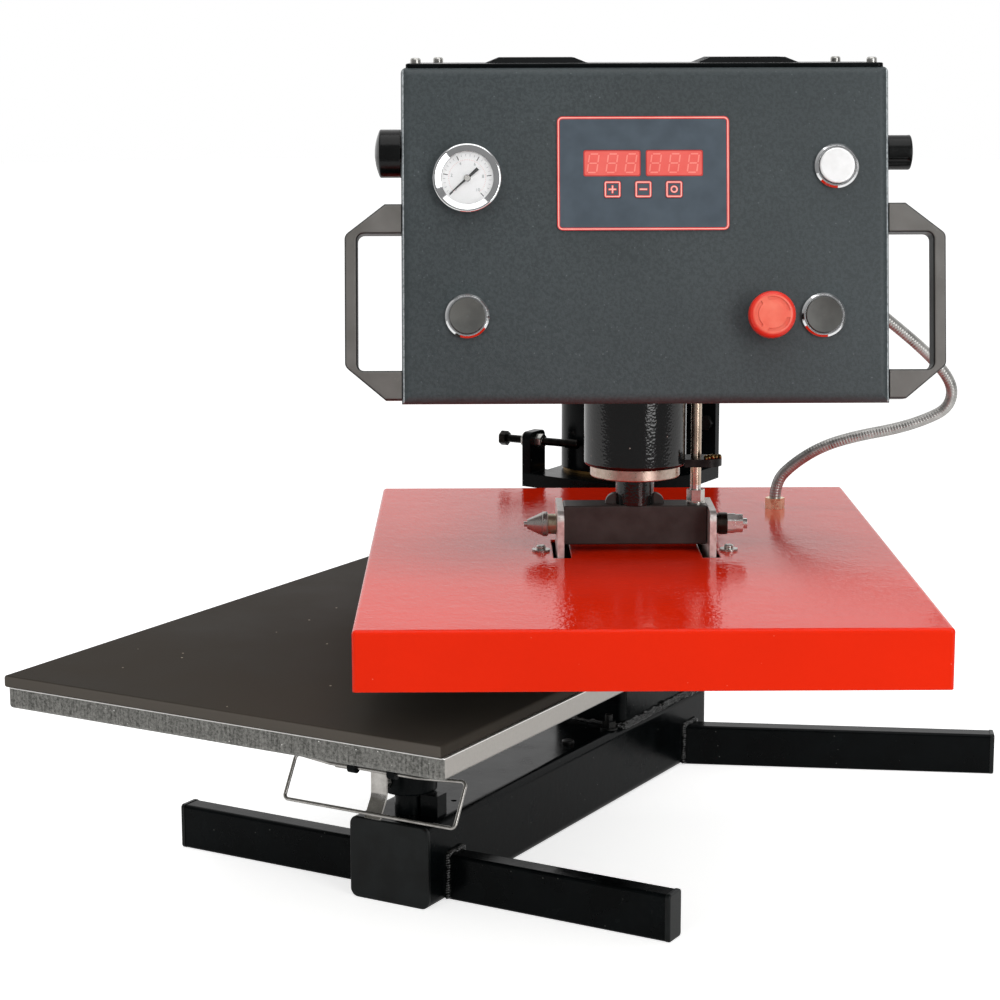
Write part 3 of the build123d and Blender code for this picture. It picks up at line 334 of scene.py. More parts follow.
def moulded_black(name, hex_low, hex_high, roughness):
    """Moulded black plastic with the fine matt grain of a spark-eroded mould."""
    shader = {"Roughness": roughness, "IOR": 1.46, "Specular IOR Level": 0.25}
    material, tree, surface = new_material(name, shader)
    place = add_node(tree, COORDINATES).outputs["Object"]
    grain = add_node(tree, NOISE, grains(0.8, 3.0), {"Vector": place}).outputs["Fac"]
    colour = clouded(tree, place, grains(18.0, 3.0), between(hex_low, hex_high, (0.35, 0.65)))[1]
    tree.links.new(colour, surface.inputs["Base Color"])
    gloss = span(0.3, 0.7, roughness - 0.06, roughness + 0.08)
    add_node(tree, RANGE, gloss, {"Value": grain}, {"Result": surface.inputs["Roughness"]})
    relief(tree, surface, grain, 0.35, 0.08, 0.4)
    return material


def oxide_steel():
    """Black oxide on steel fasteners: satin, a little brown where it is handled."""
    return drifting(
        "Black oxide steel", {"Metallic": 0.6, "Roughness": 0.38}, grains(6.0, 4.0, 0.6),
        between("#0b0c0c", "#211f1d", (0.35, 0.75)), span(0.3, 0.8, 0.3, 0.5), None, 0.2, 0.1, 0.3)


def zinc_steel():
    """Bright zinc plate on steel: cool grey, slightly cloudy, with fine drawing lines."""
    return drifting(
        "Bright zinc plated steel", {"Metallic": 1.0, "Roughness": 0.3}, grains(7.0, 4.0, 0.6),
        between("#a3a19c", "#c9c8c4"), span(0.3, 0.7, 0.2, 0.38), grains(0.9), 0.15, 0.05, 0.3)


def chrome_plate():
    """Bright chrome plate on the bezels and the gauge: a mirror with a trace of polish."""
    return drifting(
        "Polished chrome plate", {"Metallic": 1.0, "Roughness": 0.06}, grains(14.0),
        between("#d9dadb", "#e6e7e8"), span(0.3, 0.7, 0.05, 0.09), None, 0.02, 0.05, 0.3)


def pearl_chrome():
    """Pearl chrome on the power button: so pale that it looks white under the lights."""
    material, tree, surface = new_material("Pearl chrome plate", {"Metallic": 0.5, "Roughness": 0.3})
    place = add_node(tree, COORDINATES).outputs["Object"]
    colour = clouded(tree, place, grains(6.0), between("#f4f4f3", "#fdfdfd"))[1]
    tree.links.new(colour, surface.inputs["Base Color"])
    grained(tree, surface, place, grains(1.2), 0.08, 0.04, 0.3)
    return material


def bronze_rod():
    """Drawn bronze rod, rubbed bright, standing in a zinc plated nut and washer."""
    material, tree, surface = new_material("Drawn bronze rod", {"Metallic": 1.0, "Roughness": 0.2})
    place = add_node(tree, COORDINATES).outputs["Object"]
    stain, bronze = clouded(tree, place, grains(12.0, 4.0, 0.6), between("#b8a18d", "#e2cfbb"))
    zinc = add_node(tree, RAMP, between("#b9b7b2", "#dedcd7"), {"Fac": stain}).outputs["Color"]
    links = {0: beyond(tree, place, "Z", GUIDE_NUT_TOP), 6: zinc, 7: bronze}
    add_node(tree, MIX, {"data_type": "RGBA"}, links, {2: surface.inputs["Base Color"]})
    add_node(tree, RANGE, span(0.3, 0.7, 0.16, 0.3), {"Value": stain}, {"Result": surface.inputs["Roughness"]})
    grained(tree, surface, place, grains(1.2), 0.15, 0.05, 0.3)
    return material


def stop_metals():
    """Black oxide on the closing stop's bolt and bumper, bright zinc on its two nuts."""
    material, tree, surface = new_material("Black oxide bolt and zinc nuts", {"Metallic": 1.0, "Roughness": 0.32})
    place = add_node(tree, COORDINATES).outputs["Object"]
    wear, black = clouded(tree, place, grains(6.0, 4.0, 0.6), between("#0f1010", "#2b2724", (0.35, 0.75)))
    axis = {"operation": "DOT_PRODUCT", 1: STAND_RIGHT}
    along = add_node(tree, "ShaderNodeVectorMath", axis, {0: place}).outputs["Value"]
    links = {k: band(tree, along, *limits) for k, limits in enumerate(STOP_NUTS)}
    nuts = add_node(tree, MATH, {"operation": "ADD"}, links).outputs[0]
    add_node(tree, MIX, tinted("#c6c5c0"), {0: nuts, 6: black}, {2: surface.inputs["Base Color"]})
    add_node(tree, RANGE, span(0.3, 0.8, 0.24, 0.42), {"Value": wear}, {"Result": surface.inputs["Roughness"]})
    relief(tree, surface, wear, 0.15, 0.1, 0.3)
    return material


def drawn_wire():
    """Bright drawn steel wire and spring strip, with hard small highlights."""
    return drifting(
        "Bright drawn steel", {"Metallic": 1.0, "Roughness": 0.2}, grains(12.0, 4.0, 0.6),
        between("#96938f", "#c2bfbb"), span(0.3, 0.7, 0.14, 0.28), grains(1.5), 0.15, 0.05, 0.3)


def painted_weld():
    """Weld metal under thick gloss paint: small hard glints on every ripple."""
    return drifting(
        "Painted weld", {"Roughness": 0.12, "IOR": 1.5, "Specular IOR Level": 0.6}, grains(5.0, 3.0),
        between("#050606", "#111312", (0.35, 0.7)), span(0.3, 0.7, 0.08, 0.2), grains(2.2, 3.0), 0.4, 0.4)


def turned_bronze(name, hex_low, hex_high, roughness):
    """Bronze or brass turned on a lathe: warm yellow metal with fine turning marks."""
    material, tree, surface = new_material(name, {"Metallic": 1.0, "Roughness": roughness})
    place = add_node(tree, COORDINATES).outputs["Object"]
    stain, metal = clouded(tree, place, grains(5.0, 4.0, 0.6), between(hex_low, hex_high))
    tree.links.new(metal, surface.inputs["Base Color"])
    gloss = span(0.3, 0.7, roughness - 0.06, roughness + 0.1)
    add_node(tree, RANGE, gloss, {"Value": stain}, {"Result": surface.inputs["Roughness"]})
    turning = add_node(tree, "ShaderNodeMapping", {"Scale": (1, 1, 30)}, {"Vector": place}).outputs["Vector"]
    grained(tree, surface, turning, grains(9.0), 0.2, 0.05, 0.3)
    return material


def plated_fittings():
    """Nickel plated brass on the gland and the air inlet, moulded black plastic on the mains inlet."""
    shader = {"Roughness": 0.3, "Specular IOR Level": 0.3}
    material, tree, surface = new_material("Nickel plated brass and moulded inlet", shader)
    place = add_node(tree, COORDINATES).outputs["Object"]
    stain, brass = clouded(tree, place, grains(5.0, 4.0, 0.6), between("#a8a091", "#c6bdad"))
    metal = beyond(tree, place, "X", MAINS_INLET_RIGHT)
    tree.links.new(metal, surface.inputs["Metallic"])
    settings = {"data_type": "RGBA", 6: linear("#121313")}
    add_node(tree, MIX, settings, {0: metal, 7: brass}, {2: surface.inputs["Base Color"]})
    add_node(tree, RANGE, span(0.3, 0.7, 0.24, 0.4), {"Value": stain}, {"Result": surface.inputs["Roughness"]})
    grained(tree, surface, place, grains(1.2), 0.15, 0.05, 0.3)
    return material


# Finishes of the head and the plates

def textured_grey_powder_coat(colour):
    """Slate powder coat with a fine texture whose low spots hold painted shade, faint specks, and a pale painted
    highlight broken up like wear along the front's upright folds.
    """
    shader = {"Roughness": 0.5, "IOR": 1.5, "Specular IOR Level": 0.3}
    material, tree, surface = new_material("Fine texture slate powder coat", shader)
    place = add_node(tree, COORDINATES).outputs["Object"]
    grit = add_node(tree, NOISE, grains(2.4, 4.0, 0.65), {"Vector": place}).outputs["Fac"]
    coat = clouded(tree, place, grains(90.0, 3.0), around(colour, 0.08))[1]
    # Painted shade: where the texture's relief is low, the coat is darker
    shaded_pits = add_node(tree, RANGE, span(0.42, 0.58, 0.35, 0.0), {"Value": grit}).outputs["Result"]
    coat = add_node(tree, MIX, tinted("#22282a"), {0: shaded_pits, 6: coat}).outputs[2]
    bright = add_node(tree, RANGE, span(0.4, 0.6, 0.1, 0.45), {"Value": grit}).outputs["Result"]
    links = {0: specks(tree, place, 3.4, 0.72, 0.12), 1: bright}
    speck = add_node(tree, MATH, {"operation": "MULTIPLY"}, links).outputs[0]
    coat = add_node(tree, MIX, tinted("#6d7577"), {0: speck, 6: coat}).outputs[2]
    # Along the front's upright folds: a pale painted highlight, broken up by the grain like wear
    links = {
        0: beyond(tree, place, "X", BOX_LEFT + FOLD_WEAR_AND_HIGHLIGHT, (1.0, 0.0)),
        1: beyond(tree, place, "X", BOX_RIGHT - FOLD_WEAR_AND_HIGHLIGHT),
    }
    fold = add_node(tree, MATH, {"operation": "ADD"}, links).outputs[0]
    links = {0: fold, 1: facing(tree, PANEL_OUT, 0.3, 0.7)}
    fold = add_node(tree, MATH, {"operation": "MULTIPLY"}, links).outputs[0]
    broken_up = add_node(tree, RANGE, span(0.35, 0.6, 0.4, 1.0), {"Value": grit}).outputs["Result"]
    wear_and_highlight = add_node(tree, MATH, {"operation": "MULTIPLY"}, {0: fold, 1: broken_up}).outputs[0]
    add_node(tree, MIX, tinted("#d6dde0"), {0: wear_and_highlight, 6: coat}, {2: surface.inputs["Base Color"]})
    add_node(tree, RANGE, span(0.35, 0.65, 0.4, 0.58), {"Value": grit}, {"Result": surface.inputs["Roughness"]})
    relief(tree, surface, grit, 0.5, 0.35, 0.8)
    return material


def satin_grey_enamel():
    """Satin brown-grey enamel on the cast handles, mottled with light rubs, and painted shade that makes their sides
    near black.
    """
    shader = {"Roughness": 0.42, "IOR": 1.5, "Specular IOR Level": 0.4}
    material, tree, surface = new_material("Satin grey enamel", shader)
    place = add_node(tree, COORDINATES).outputs["Object"]
    enamel = clouded(tree, place, grains(25.0, 3.0), between("#5a5854", "#6a6865"))[1]
    grain = add_node(tree, NOISE, grains(1.6, 3.0), {"Vector": place}).outputs["Fac"]
    touched = add_node(tree, NOISE, grains(14.0, 5.0, 0.7), {"Vector": place}).outputs["Fac"]
    touched = add_node(tree, RANGE, span(0.62, 0.7, 0.0, 0.5), {"Value": touched}).outputs["Result"]
    rubs = add_node(tree, MATH, {"operation": "MULTIPLY"}, {0: touched, 1: grain}).outputs[0]
    enamel = add_node(tree, MIX, tinted("#8a8782"), {0: rubs, 6: enamel}).outputs[2]
    # Painted shade: every face that doesn't look out of the panel is near black
    settings = {"data_type": "RGBA", 6: linear("#161615")}
    links = {0: facing(tree, PANEL_OUT, 0.75, 0.95), 7: enamel}
    add_node(tree, MIX, settings, links, {2: surface.inputs["Base Color"]})
    relief(tree, surface, grain, 0.25, 0.12, 0.8)
    return material


def red_powder_coat(colour):
    """Gloss red powder coat: deep red with pale painted glints, whose orange peel frays the edges of its
    reflections.
    """
    shader = {"Roughness": 0.05, "IOR": 1.5, "Specular IOR Level": 0.12}
    material, tree, surface = new_material("Gloss red powder coat", shader)
    place = add_node(tree, COORDINATES).outputs["Object"]
    tone, coat = clouded(tree, place, grains(120.0), around(colour, 0.05))
    # Pale painted glints: specks that stand in for the orange peel's sparkle, stronger where the tone is light
    bright = add_node(tree, RANGE, span(0.3, 0.7, 0.2, 0.6), {"Value": tone}).outputs["Result"]
    links = {0: specks(tree, place, 7.0, 0.7, 0.05), 1: bright}
    grit = add_node(tree, MATH, {"operation": "MULTIPLY"}, links).outputs[0]
    add_node(tree, MIX, tinted("#f59a80"), {0: grit, 6: coat}, {2: surface.inputs["Base Color"]})
    peel = add_node(tree, NOISE, grains(3.2), {"Vector": place}).outputs["Fac"]
    add_node(tree, RANGE, span(0.3, 0.7, 0.02, 0.06), {"Value": peel}, {"Result": surface.inputs["Roughness"]})
    swell = add_node(tree, NOISE, grains(16.0, 1.0), {"Vector": place}).outputs["Fac"]
    both = add_node(tree, MATH, {"operation": "ADD"}, {0: peel, 1: swell}).outputs[0]
    relief(tree, surface, both, 0.65, 0.3, 1.2)
    return material


def sawn_aluminium():
    """Cast aluminium plate with sawn sides: dull grey, upright scratches, pits, a painted highlight along the top
    edge, and the right side painted lighter as the key lamp falls on it.
    """
    material, tree, surface = new_material("Sawn cast aluminium", {"Metallic": 1.0, "Roughness": 0.42})
    place = add_node(tree, COORDINATES).outputs["Object"]
    upright = add_node(tree, "ShaderNodeMapping", {"Scale": (1, 1, 0.06)}, {"Vector": place}).outputs["Vector"]
    scratch = add_node(tree, NOISE, grains(1.6, 4.0, 0.7), {"Vector": upright}).outputs["Fac"]
    patch = add_node(tree, NOISE, grains(2.2, 6.0, 0.8), {"Vector": place}).outputs["Fac"]
    pits = specks(tree, place, 5.0, 0.62, 0.07)
    sawn = add_node(tree, MIX, {"data_type": "FLOAT", 0: 0.72}, {2: scratch, 3: patch}).outputs[0]
    metal = add_node(tree, RAMP, between("#484845", "#93928e", (0.4, 0.6)), {"Fac": sawn}).outputs["Color"]
    metal = add_node(tree, MIX, tinted("#f4f3ef"), {0: pits, 6: metal}).outputs[2]
    # Painted light: the side facing the stand's right, toward the key lamp, is lighter
    lit_side = facing(tree, STAND_RIGHT, 0.8, 0.95)
    metal = add_node(tree, MIX, tinted("#aeaaa5"), {0: lit_side, 6: metal}).outputs[2]
    # Painted highlight: a near-white line along the top edge
    edge = beyond(tree, place, "Z", PLATEN_EDGE)
    add_node(tree, MIX, tinted("#fbfaf7"), {0: edge, 6: metal}, {2: surface.inputs["Base Color"]})
    add_node(tree, RANGE, span(0.3, 0.7, 0.32, 0.52), {"Value": patch}, {"Result": surface.inputs["Roughness"]})
    both = add_node(tree, MATH, {"operation": "ADD"}, {0: scratch, 1: pits}).outputs[0]
    relief(tree, surface, both, 0.4, 0.3, 0.8)
    return material


def milled_aluminium(name, hex_low, hex_high):
    """Milled aluminium: bright and satin, with faint cutter marks along X."""
    material, tree, surface = new_material(name, {"Metallic": 1.0, "Roughness": 0.34})
    place = add_node(tree, COORDINATES).outputs["Object"]
    lines = add_node(tree, "ShaderNodeMapping", {"Scale": (0.05, 1, 1)}, {"Vector": place}).outputs["Vector"]
    marks, metal = clouded(tree, lines, grains(1.2, 3.0), between(hex_low, hex_high))
    tree.links.new(metal, surface.inputs["Base Color"])
    relief(tree, surface, marks, 0.2, 0.06, 0.5)
    return material


def silicone_sponge(colour):
    """Dark silicone sponge sheet: matt, warm grey, with a closed-cell skin, faint lint, and painted light that makes
    the side facing the stand's front paler.
    """
    shader = {"Roughness": 0.75, "IOR": 1.41, "Specular IOR Level": 0.15}
    material, tree, surface = new_material("Silicone sponge", shader)
    place = add_node(tree, COORDINATES).outputs["Object"]
    cloud, skin = clouded(tree, place, grains(90.0, 4.0, 0.6), around(colour, 0.14))
    # Painted light: the side facing the stand's front is paler, as lit from the front
    lit_front = facing(tree, STAND_FRONT, 0.6, 0.9)
    skin = add_node(tree, MIX, tinted("#544f49"), {0: lit_front, 6: skin}).outputs[2]
    lint = specks(tree, place, 14.0, 0.7, 0.05)
    add_node(tree, MIX, tinted("#b9ad9a"), {0: lint, 6: skin}, {2: surface.inputs["Base Color"]})
    add_node(tree, RANGE, span(0.3, 0.7, 0.68, 0.82), {"Value": cloud}, {"Result": surface.inputs["Roughness"]})
    grained(tree, surface, place, grains(1.3, 4.0, 0.7), 0.45, 0.25, 1.0)
    return material


def mineral_board():
    """Mineral fibre insulating board: matt and fibrous, seen only through the cover's slots."""
    material, tree, surface = new_material("Mineral fibre board", {"Roughness": 0.9})
    place = add_node(tree, COORDINATES).outputs["Object"]
    fibre, colour = clouded(tree, place, grains(3.0, 6.0, 0.7), between("#4a463c", "#6e6858"))
    tree.links.new(colour, surface.inputs["Base Color"])
    relief(tree, surface, fibre, 0.6, 0.5)
    return material


def interlocked_conduit():
    """Interlocked stainless strip: dull bright steel, a little cloudy along the conduit's spiral."""
    return drifting(
        "Interlocked stainless conduit", {"Metallic": 0.75, "Roughness": 0.3}, grains(8.0, 3.0),
        between("#9c9b98", "#b9b8b5"), span(0.3, 0.7, 0.26, 0.4), grains(1.0), 0.1, 0.05)


def red_button_plastic():
    """Moulded red plastic of the emergency stop, with its face painted paler as lit from the front."""
    shader = {"Roughness": 0.32, "IOR": 1.46, "Subsurface Weight": 0.15, "Subsurface Scale": 2 * MM}
    material, tree, surface = new_material("Moulded red plastic", shader)
    place = add_node(tree, COORDINATES).outputs["Object"]
    # Painted light: the face that looks out of the panel is salmon, as lit from the front; the sides stay deep red
    lit_face = clouded(tree, place, grains(12.0), between("#e6604c", "#f07a64"))[1]
    settings = {"data_type": "RGBA", 6: linear("#dc2f20")}
    links = {0: facing(tree, PANEL_OUT, 0.9, 0.995), 7: lit_face}
    add_node(tree, MIX, settings, links, {2: surface.inputs["Base Color"]})
    grained(tree, surface, place, grains(1.0), 0.12, 0.04, 0.4)
    return material


def clear_glass():
    """The gauge's clear window: smooth, with the faintest waviness."""
    shader = {"Base Color": linear("#ffffff"), "Roughness": 0.02, "IOR": 1.45, "Transmission Weight": 1.0}
    material, tree, surface = new_material("Clear gauge window", shader)
    place = add_node(tree, COORDINATES).outputs["Object"]
    grained(tree, surface, place, grains(20.0, 1.0), 0.02, 0.05)
    return material


def printed(name, hex_low, hex_high, roughness):
    """Screen-printed ink or film: an even colour with a faint variation."""
    material, tree, surface = new_material(name, {"Roughness": roughness, "IOR": 1.5})
    place = add_node(tree, COORDINATES).outputs["Object"]
    colour = clouded(tree, place, grains(15.0), between(hex_low, hex_high))[1]
    tree.links.new(colour, surface.inputs["Base Color"])
    grained(tree, surface, place, grains(0.8), 0.06, 0.03)
    return material


def circuit_board():
    """Green solder mask on the control board: glossy and even, and out of sight in the box."""
    material, tree, surface = new_material("Green solder mask", {"Roughness": 0.35})
    place = add_node(tree, COORDINATES).outputs["Object"]
    tone, colour = clouded(tree, place, grains(6.0, 3.0), between("#12502c", "#1d6b3c", (0.4, 0.6)))
    tree.links.new(colour, surface.inputs["Base Color"])
    relief(tree, surface, tone, 0.2, 0.1)
    return material


# Modelling helpers

CORNER_SEGMENTS = 6


def start_fresh():
    """Leaves edit mode and deselects everything."""
    if bpy.context.object and bpy.context.object.mode != "OBJECT":
        bpy.ops.object.mode_set(mode="OBJECT")
    bpy.ops.object.select_all(action="DESELECT")


def finish_piece(piece, name, material, body, matrix=None):
    """Names a new piece, puts its place in its mesh, and gives it its finish and its body, if it has one."""
    piece.name = name
    piece.data.name = name
    piece.data.transform(piece.matrix_world if matrix is None else matrix @ piece.matrix_world)
    piece.matrix_world = Matrix.Identity(4)
    piece.data.materials.clear()
    piece.data.materials.append(material)
    if body:
        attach(piece, body)
    return piece


def apply_modifier(piece, kind, **settings):
    """Adds a modifier, sets it and applies it."""
    start_fresh()
    bpy.context.view_layer.objects.active = piece
    piece.select_set(True)
    modifier = piece.modifiers.new(kind.title(), kind)
    for key, value in settings.items():
        setattr(modifier, key, value)
    bpy.ops.object.modifier_apply(modifier=modifier.name)


def smooth(piece, angle=35.0):
    """Smooth shading with sharp edges past the angle."""
    start_fresh()
    bpy.context.view_layer.objects.active = piece
    piece.select_set(True)
    bpy.ops.object.shade_smooth_by_angle(angle=radians(angle))


def rounded_plate(width, height, corner, thickness, line=0.0):
    """A flat plate with round corners, or only its border where a line width is given."""
    start_fresh()
    bpy.ops.mesh.primitive_plane_add(size=1.0)
    plate = bpy.context.object
    bpy.ops.object.mode_set(mode="EDIT")
    bpy.ops.transform.resize(value=(width * MM, height * MM, 1.0))
    bpy.ops.mesh.bevel(offset=corner * MM, segments=CORNER_SEGMENTS, affect="VERTICES")
    bpy.ops.mesh.select_all(action="SELECT")
    if line:
        bpy.ops.mesh.inset(thickness=line * MM)
        bpy.ops.mesh.delete(type="FACE")
    bpy.ops.object.mode_set(mode="OBJECT")
    apply_modifier(plate, "SOLIDIFY", thickness=thickness * MM, offset=1.0)
    return plate


def weld_run(start, end, width):
    """One straight bead: a squashed ripple, repeated and made a little uneven."""
    start_fresh()
    bpy.ops.mesh.primitive_uv_sphere_add(segments=RIPPLE_SIDES, ring_count=RIPPLE_RINGS, radius=width / 2 * MM)
    bead = bpy.context.object
    bpy.ops.object.mode_set(mode="EDIT")
    bpy.ops.transform.resize(value=RIPPLE_SQUASH)
    bpy.ops.object.mode_set(mode="OBJECT")
    along = end - start
    count = max(2, round(along.length / (RIPPLE_PITCH * MM)))
    step = (along.length / (count - 1), 0, 0)
    spacing = {"use_relative_offset": False, "use_constant_offset": True, "constant_offset_displace": step}
    apply_modifier(bead, "ARRAY", count=count, **spacing)
    uneven = bpy.data.textures.new("weld_uneven", "CLOUDS")
    uneven.noise_scale = UNEVEN_SIZE * MM
    strength = UNEVEN_SHARE * width * MM
    apply_modifier(bead, "DISPLACE", texture=uneven, strength=strength, mid_level=0.5, texture_coords="LOCAL")
    bead.data.transform(Matrix.Translation(start) @ along.to_track_quat("X", "Z").to_matrix().to_4x4())
    return bead


def weld_bead(name, corners, width, material, body, place):
    """A bead of overlapping ripples along straight runs."""
    beads = [weld_run(Vector(a) * MM, Vector(b) * MM, width) for a, b in zip(corners, corners[1:])]
    start_fresh()
    for bead in beads:
        bead.select_set(True)
    bpy.context.view_layer.objects.active = beads[0]
    if len(beads) > 1:
        bpy.ops.object.join()
    smooth(beads[0], 80.0)
    finish_piece(beads[0], name, material, body, place)


def dressed(names, material):
    """Gives CAD nodes a finish."""
    for name in names:
        mesh = NODES[name].data
        mesh.materials.clear()
        mesh.materials.append(material)


# Settings

class HEATPRESS_PG_sizes(bpy.types.PropertyGroup):
    """Sizes of the printed, welded and moulded details."""

    frame_line: bpy.props.FloatProperty(
        name="Frame line", description="Width of the keypad's printed border", default=1.9 * MM, unit="LENGTH")
    digit_height: bpy.props.FloatProperty(
        name="Digit height", description="Height of a display digit", default=13.3 * MM, unit="LENGTH")
    conduit_pitch: bpy.props.FloatProperty(
        name="Conduit pitch", description="Length of one turn of the conduit's strip",
        default=2.4 * MM, unit="LENGTH")
    pad_softness: bpy.props.FloatProperty(
        name="Pad edge", description="Rounding of the pad's edge", default=1.8 * MM, unit="LENGTH")
    weld_width: bpy.props.FloatProperty(
        name="Weld width", description="Width of a weld bead on the stand", default=7.0 * MM, unit="LENGTH")


class HEATPRESS_PG_colours(bpy.types.PropertyGroup):
    """Colours that a buyer would choose."""

    cover_red: bpy.props.FloatVectorProperty(
        name="Cover", description="Paint of the heat plate's cover",
        default=linear("#e4280b"), subtype="COLOR", size=4)
    stand_black: bpy.props.FloatVectorProperty(
        name="Stand", description="Paint of the stand and the arm",
        default=linear("#070a0b"), subtype="COLOR", size=4)
    box_slate: bpy.props.FloatVectorProperty(
        name="Box", description="Paint of the control box",
        default=linear("#3f4648"), subtype="COLOR", size=4)
    pad_grey: bpy.props.FloatVectorProperty(
        name="Pad", description="Colour of the silicone pad",
        default=linear("#37322c"), subtype="COLOR", size=4)


class HEATPRESS_PG_stage(bpy.types.PropertyGroup):
    """Light and floor."""

    floor_colour: bpy.props.FloatVectorProperty(
        name="Floor", description="Colour of the floor",
        default=linear("#f4f4f3"), subtype="COLOR", size=4)
    key_power: bpy.props.FloatProperty(
        name="Key light", description="Power of the tall light on the right", default=18.0, unit="POWER")
    fill_power: bpy.props.FloatProperty(
        name="Fill light", description="Power of the wide light on the left", default=13.0, unit="POWER")
    top_power: bpy.props.FloatProperty(
        name="Top light", description="Power of the light above", default=21.0, unit="POWER")
    sky: bpy.props.FloatProperty(name="Sky", description="Strength of the even light from all round", default=0.45)


# Operators

class HEATPRESS_OT_stand(bpy.types.Operator):
    """Dresses the stand and lays the weld beads at the roots of its tubes."""

    bl_idname = "heatpress.stand"
    bl_label = "Stand"

    tubes = (
        "base_beam", "front_leg_left", "front_leg_right", "rear_leg_left", "rear_leg_right",
        "tower", "foot_plate", "platen_post",
    )
    leg_edges = {"front": (-350.6, -329.4), "rear": (82.6, 105.4)}
    beam_half = 37.4
    beam_top = 68.6
    leg_foot = 3.0
    leg_top = 38.4
    tower_half = 36.2
    tower_front = -41.6
    tower_back = 125.0
    tower_bead = 1.2

    def execute(self, context):
        dressed(self.tubes, gloss_black_powder_coat(context.scene.heatpress_colours.stand_black))
        dressed(["end_caps"], moulded_black("Tube cap polyethylene", "#0a0c0c", "#141818", 0.34))
        dressed(["stand_bolts"], oxide_steel())
        dressed(["stop_bolt"], stop_metals())
        dressed(["column_post"], zinc_steel())
        width = context.scene.heatpress_sizes.weld_width / MM
        weld = painted_weld()
        for side, word in ((-1, "left"), (1, "right")):
            for leg, edges in self.leg_edges.items():
                weld_bead(f"weld_{leg}_{word}", self.leg_seam(side, *edges), width, weld, "base", in_stand())
            x = side * self.tower_half
            seam = [(x, self.tower_front, self.beam_top), (x, self.tower_back, self.beam_top)]
            weld_bead(f"weld_tower_{word}", seam, width * self.tower_bead, weld, "base", in_stand())
        seam = [(x, self.tower_front, self.beam_top) for x in (-self.tower_half, self.tower_half)]
        weld_bead("weld_tower_front", seam, width, weld, "base", in_stand())
        return {"FINISHED"}

    def leg_seam(self, side, near, far):
        """Up one side of a leg's root, over it and down the other side."""
        x = side * self.beam_half
        return [(x, near, self.leg_foot), (x, near, self.leg_top), (x, far, self.leg_top), (x, far, self.leg_foot)]


class HEATPRESS_OT_platen(bpy.types.Operator):
    """Dresses the lower platen and lays the silicone pad on it."""

    bl_idname = "heatpress.platen"
    bl_label = "Lower platen"

    edge_segments = 4

    def execute(self, context):
        dressed(["lower_platen"], sawn_aluminium())
        dressed(["platen_carrier"], gloss_black_powder_coat(context.scene.heatpress_colours.stand_black))
        dressed(["clamp_bolt"], zinc_steel())
        dressed(["release_bail"], drawn_wire())
        self.pad(context.scene.heatpress_sizes.pad_softness)
        return {"FINISHED"}

    def pad(self, softness):
        """The sponge pad, cut square and a little rounded where it is handled."""
        low, high = self.drawn_box()
        start_fresh()
        bpy.ops.mesh.primitive_cube_add(size=1.0)
        pad = bpy.context.object
        bpy.ops.object.mode_set(mode="EDIT")
        bpy.ops.transform.resize(value=high - low)
        bpy.ops.mesh.bevel(offset=softness, segments=self.edge_segments, affect="EDGES")
        bpy.ops.object.mode_set(mode="OBJECT")
        smooth(pad)
        centre = in_stand() @ Matrix.Translation((low + high) / 2)
        sponge = silicone_sponge(bpy.context.scene.heatpress_colours.pad_grey)
        finish_piece(pad, "pad_sheet", sponge, "lower_platen_body", centre)
        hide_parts("silicone_pad")

    def drawn_box(self):
        """The pad's corners in the stand's own frame."""
        turn = in_stand().inverted()
        points = [turn @ v.co for v in NODES["silicone_pad"].data.vertices]
        low = Vector([min(p[k] for p in points) for k in range(3)])
        high = Vector([max(p[k] for p in points) for k in range(3)])
        return low, high


class HEATPRESS_OT_head(bpy.types.Operator):
    """Dresses the sleeve, the arm, the cylinder and the press."""

    bl_idname = "heatpress.head"
    bl_label = "Head"

    braze_line = [(53.0, -371.0, 368.0), (58.0, -370.0, 368.6), (63.5, -366.0, 368.0)]
    braze_width = 5.0

    def execute(self, context):
        black = gloss_black_powder_coat(context.scene.heatpress_colours.stand_black)
        dressed(["sleeve", "head_arm"], black)
        dressed(["crossbar"], satin_black_bar())
        dressed(["cylinder_barrel", "press_rod"], black_hammertone())
        dressed(["cylinder_end_ring"], turned_bronze("Nickel bronze ring", "#b5a393", "#dccdc0", 0.3))
        dressed(["sleeve_bearings"], turned_bronze("Sintered bronze", "#8a6a3c", "#a98650", 0.4))
        dressed(["sleeve_cap"], moulded_black("Cap polyethylene", "#0d0f0f", "#181b1b", 0.35))
        dressed(["guide_bracket"], oxide_steel())
        dressed(["pivot_ears"], bare_steel())
        dressed(["guide_rod"], bronze_rod())
        dressed(["pivot_bolts"], pivot_metals())
        braze = turned_bronze("Brass braze", "#5d4c2e", "#a8905c", 0.3)
        weld_bead("bracket_braze", self.braze_line, self.braze_width, braze, "head", Matrix.Identity(4))
        dressed(["piston", "air_valves"], milled_aluminium("Milled aluminium", "#a9a8a5", "#c8c7c4"))
        dressed(["electronics"], circuit_board())
        return {"FINISHED"}


class HEATPRESS_OT_box(bpy.types.Operator):
    """Dresses the control box, its lid, its handles, its knobs and its fittings."""

    bl_idname = "heatpress.box"
    bl_label = "Control box"

    def execute(self, context):
        colours = context.scene.heatpress_colours
        dressed(["control_box", "box_back"], textured_grey_powder_coat(colours.box_slate))
        dressed(["top_cover"], gloss_black_powder_coat(colours.stand_black))
        dressed(["handle_left", "handle_right"], satin_grey_enamel())
        dressed(["lid_screws"], zinc_steel())
        dressed(["rear_fittings"], plated_fittings())
        dressed(["regulator_knob", "flow_knob"], moulded_black("Knob nylon", "#070808", "#0d0e0e", 0.2))
        return {"FINISHED"}


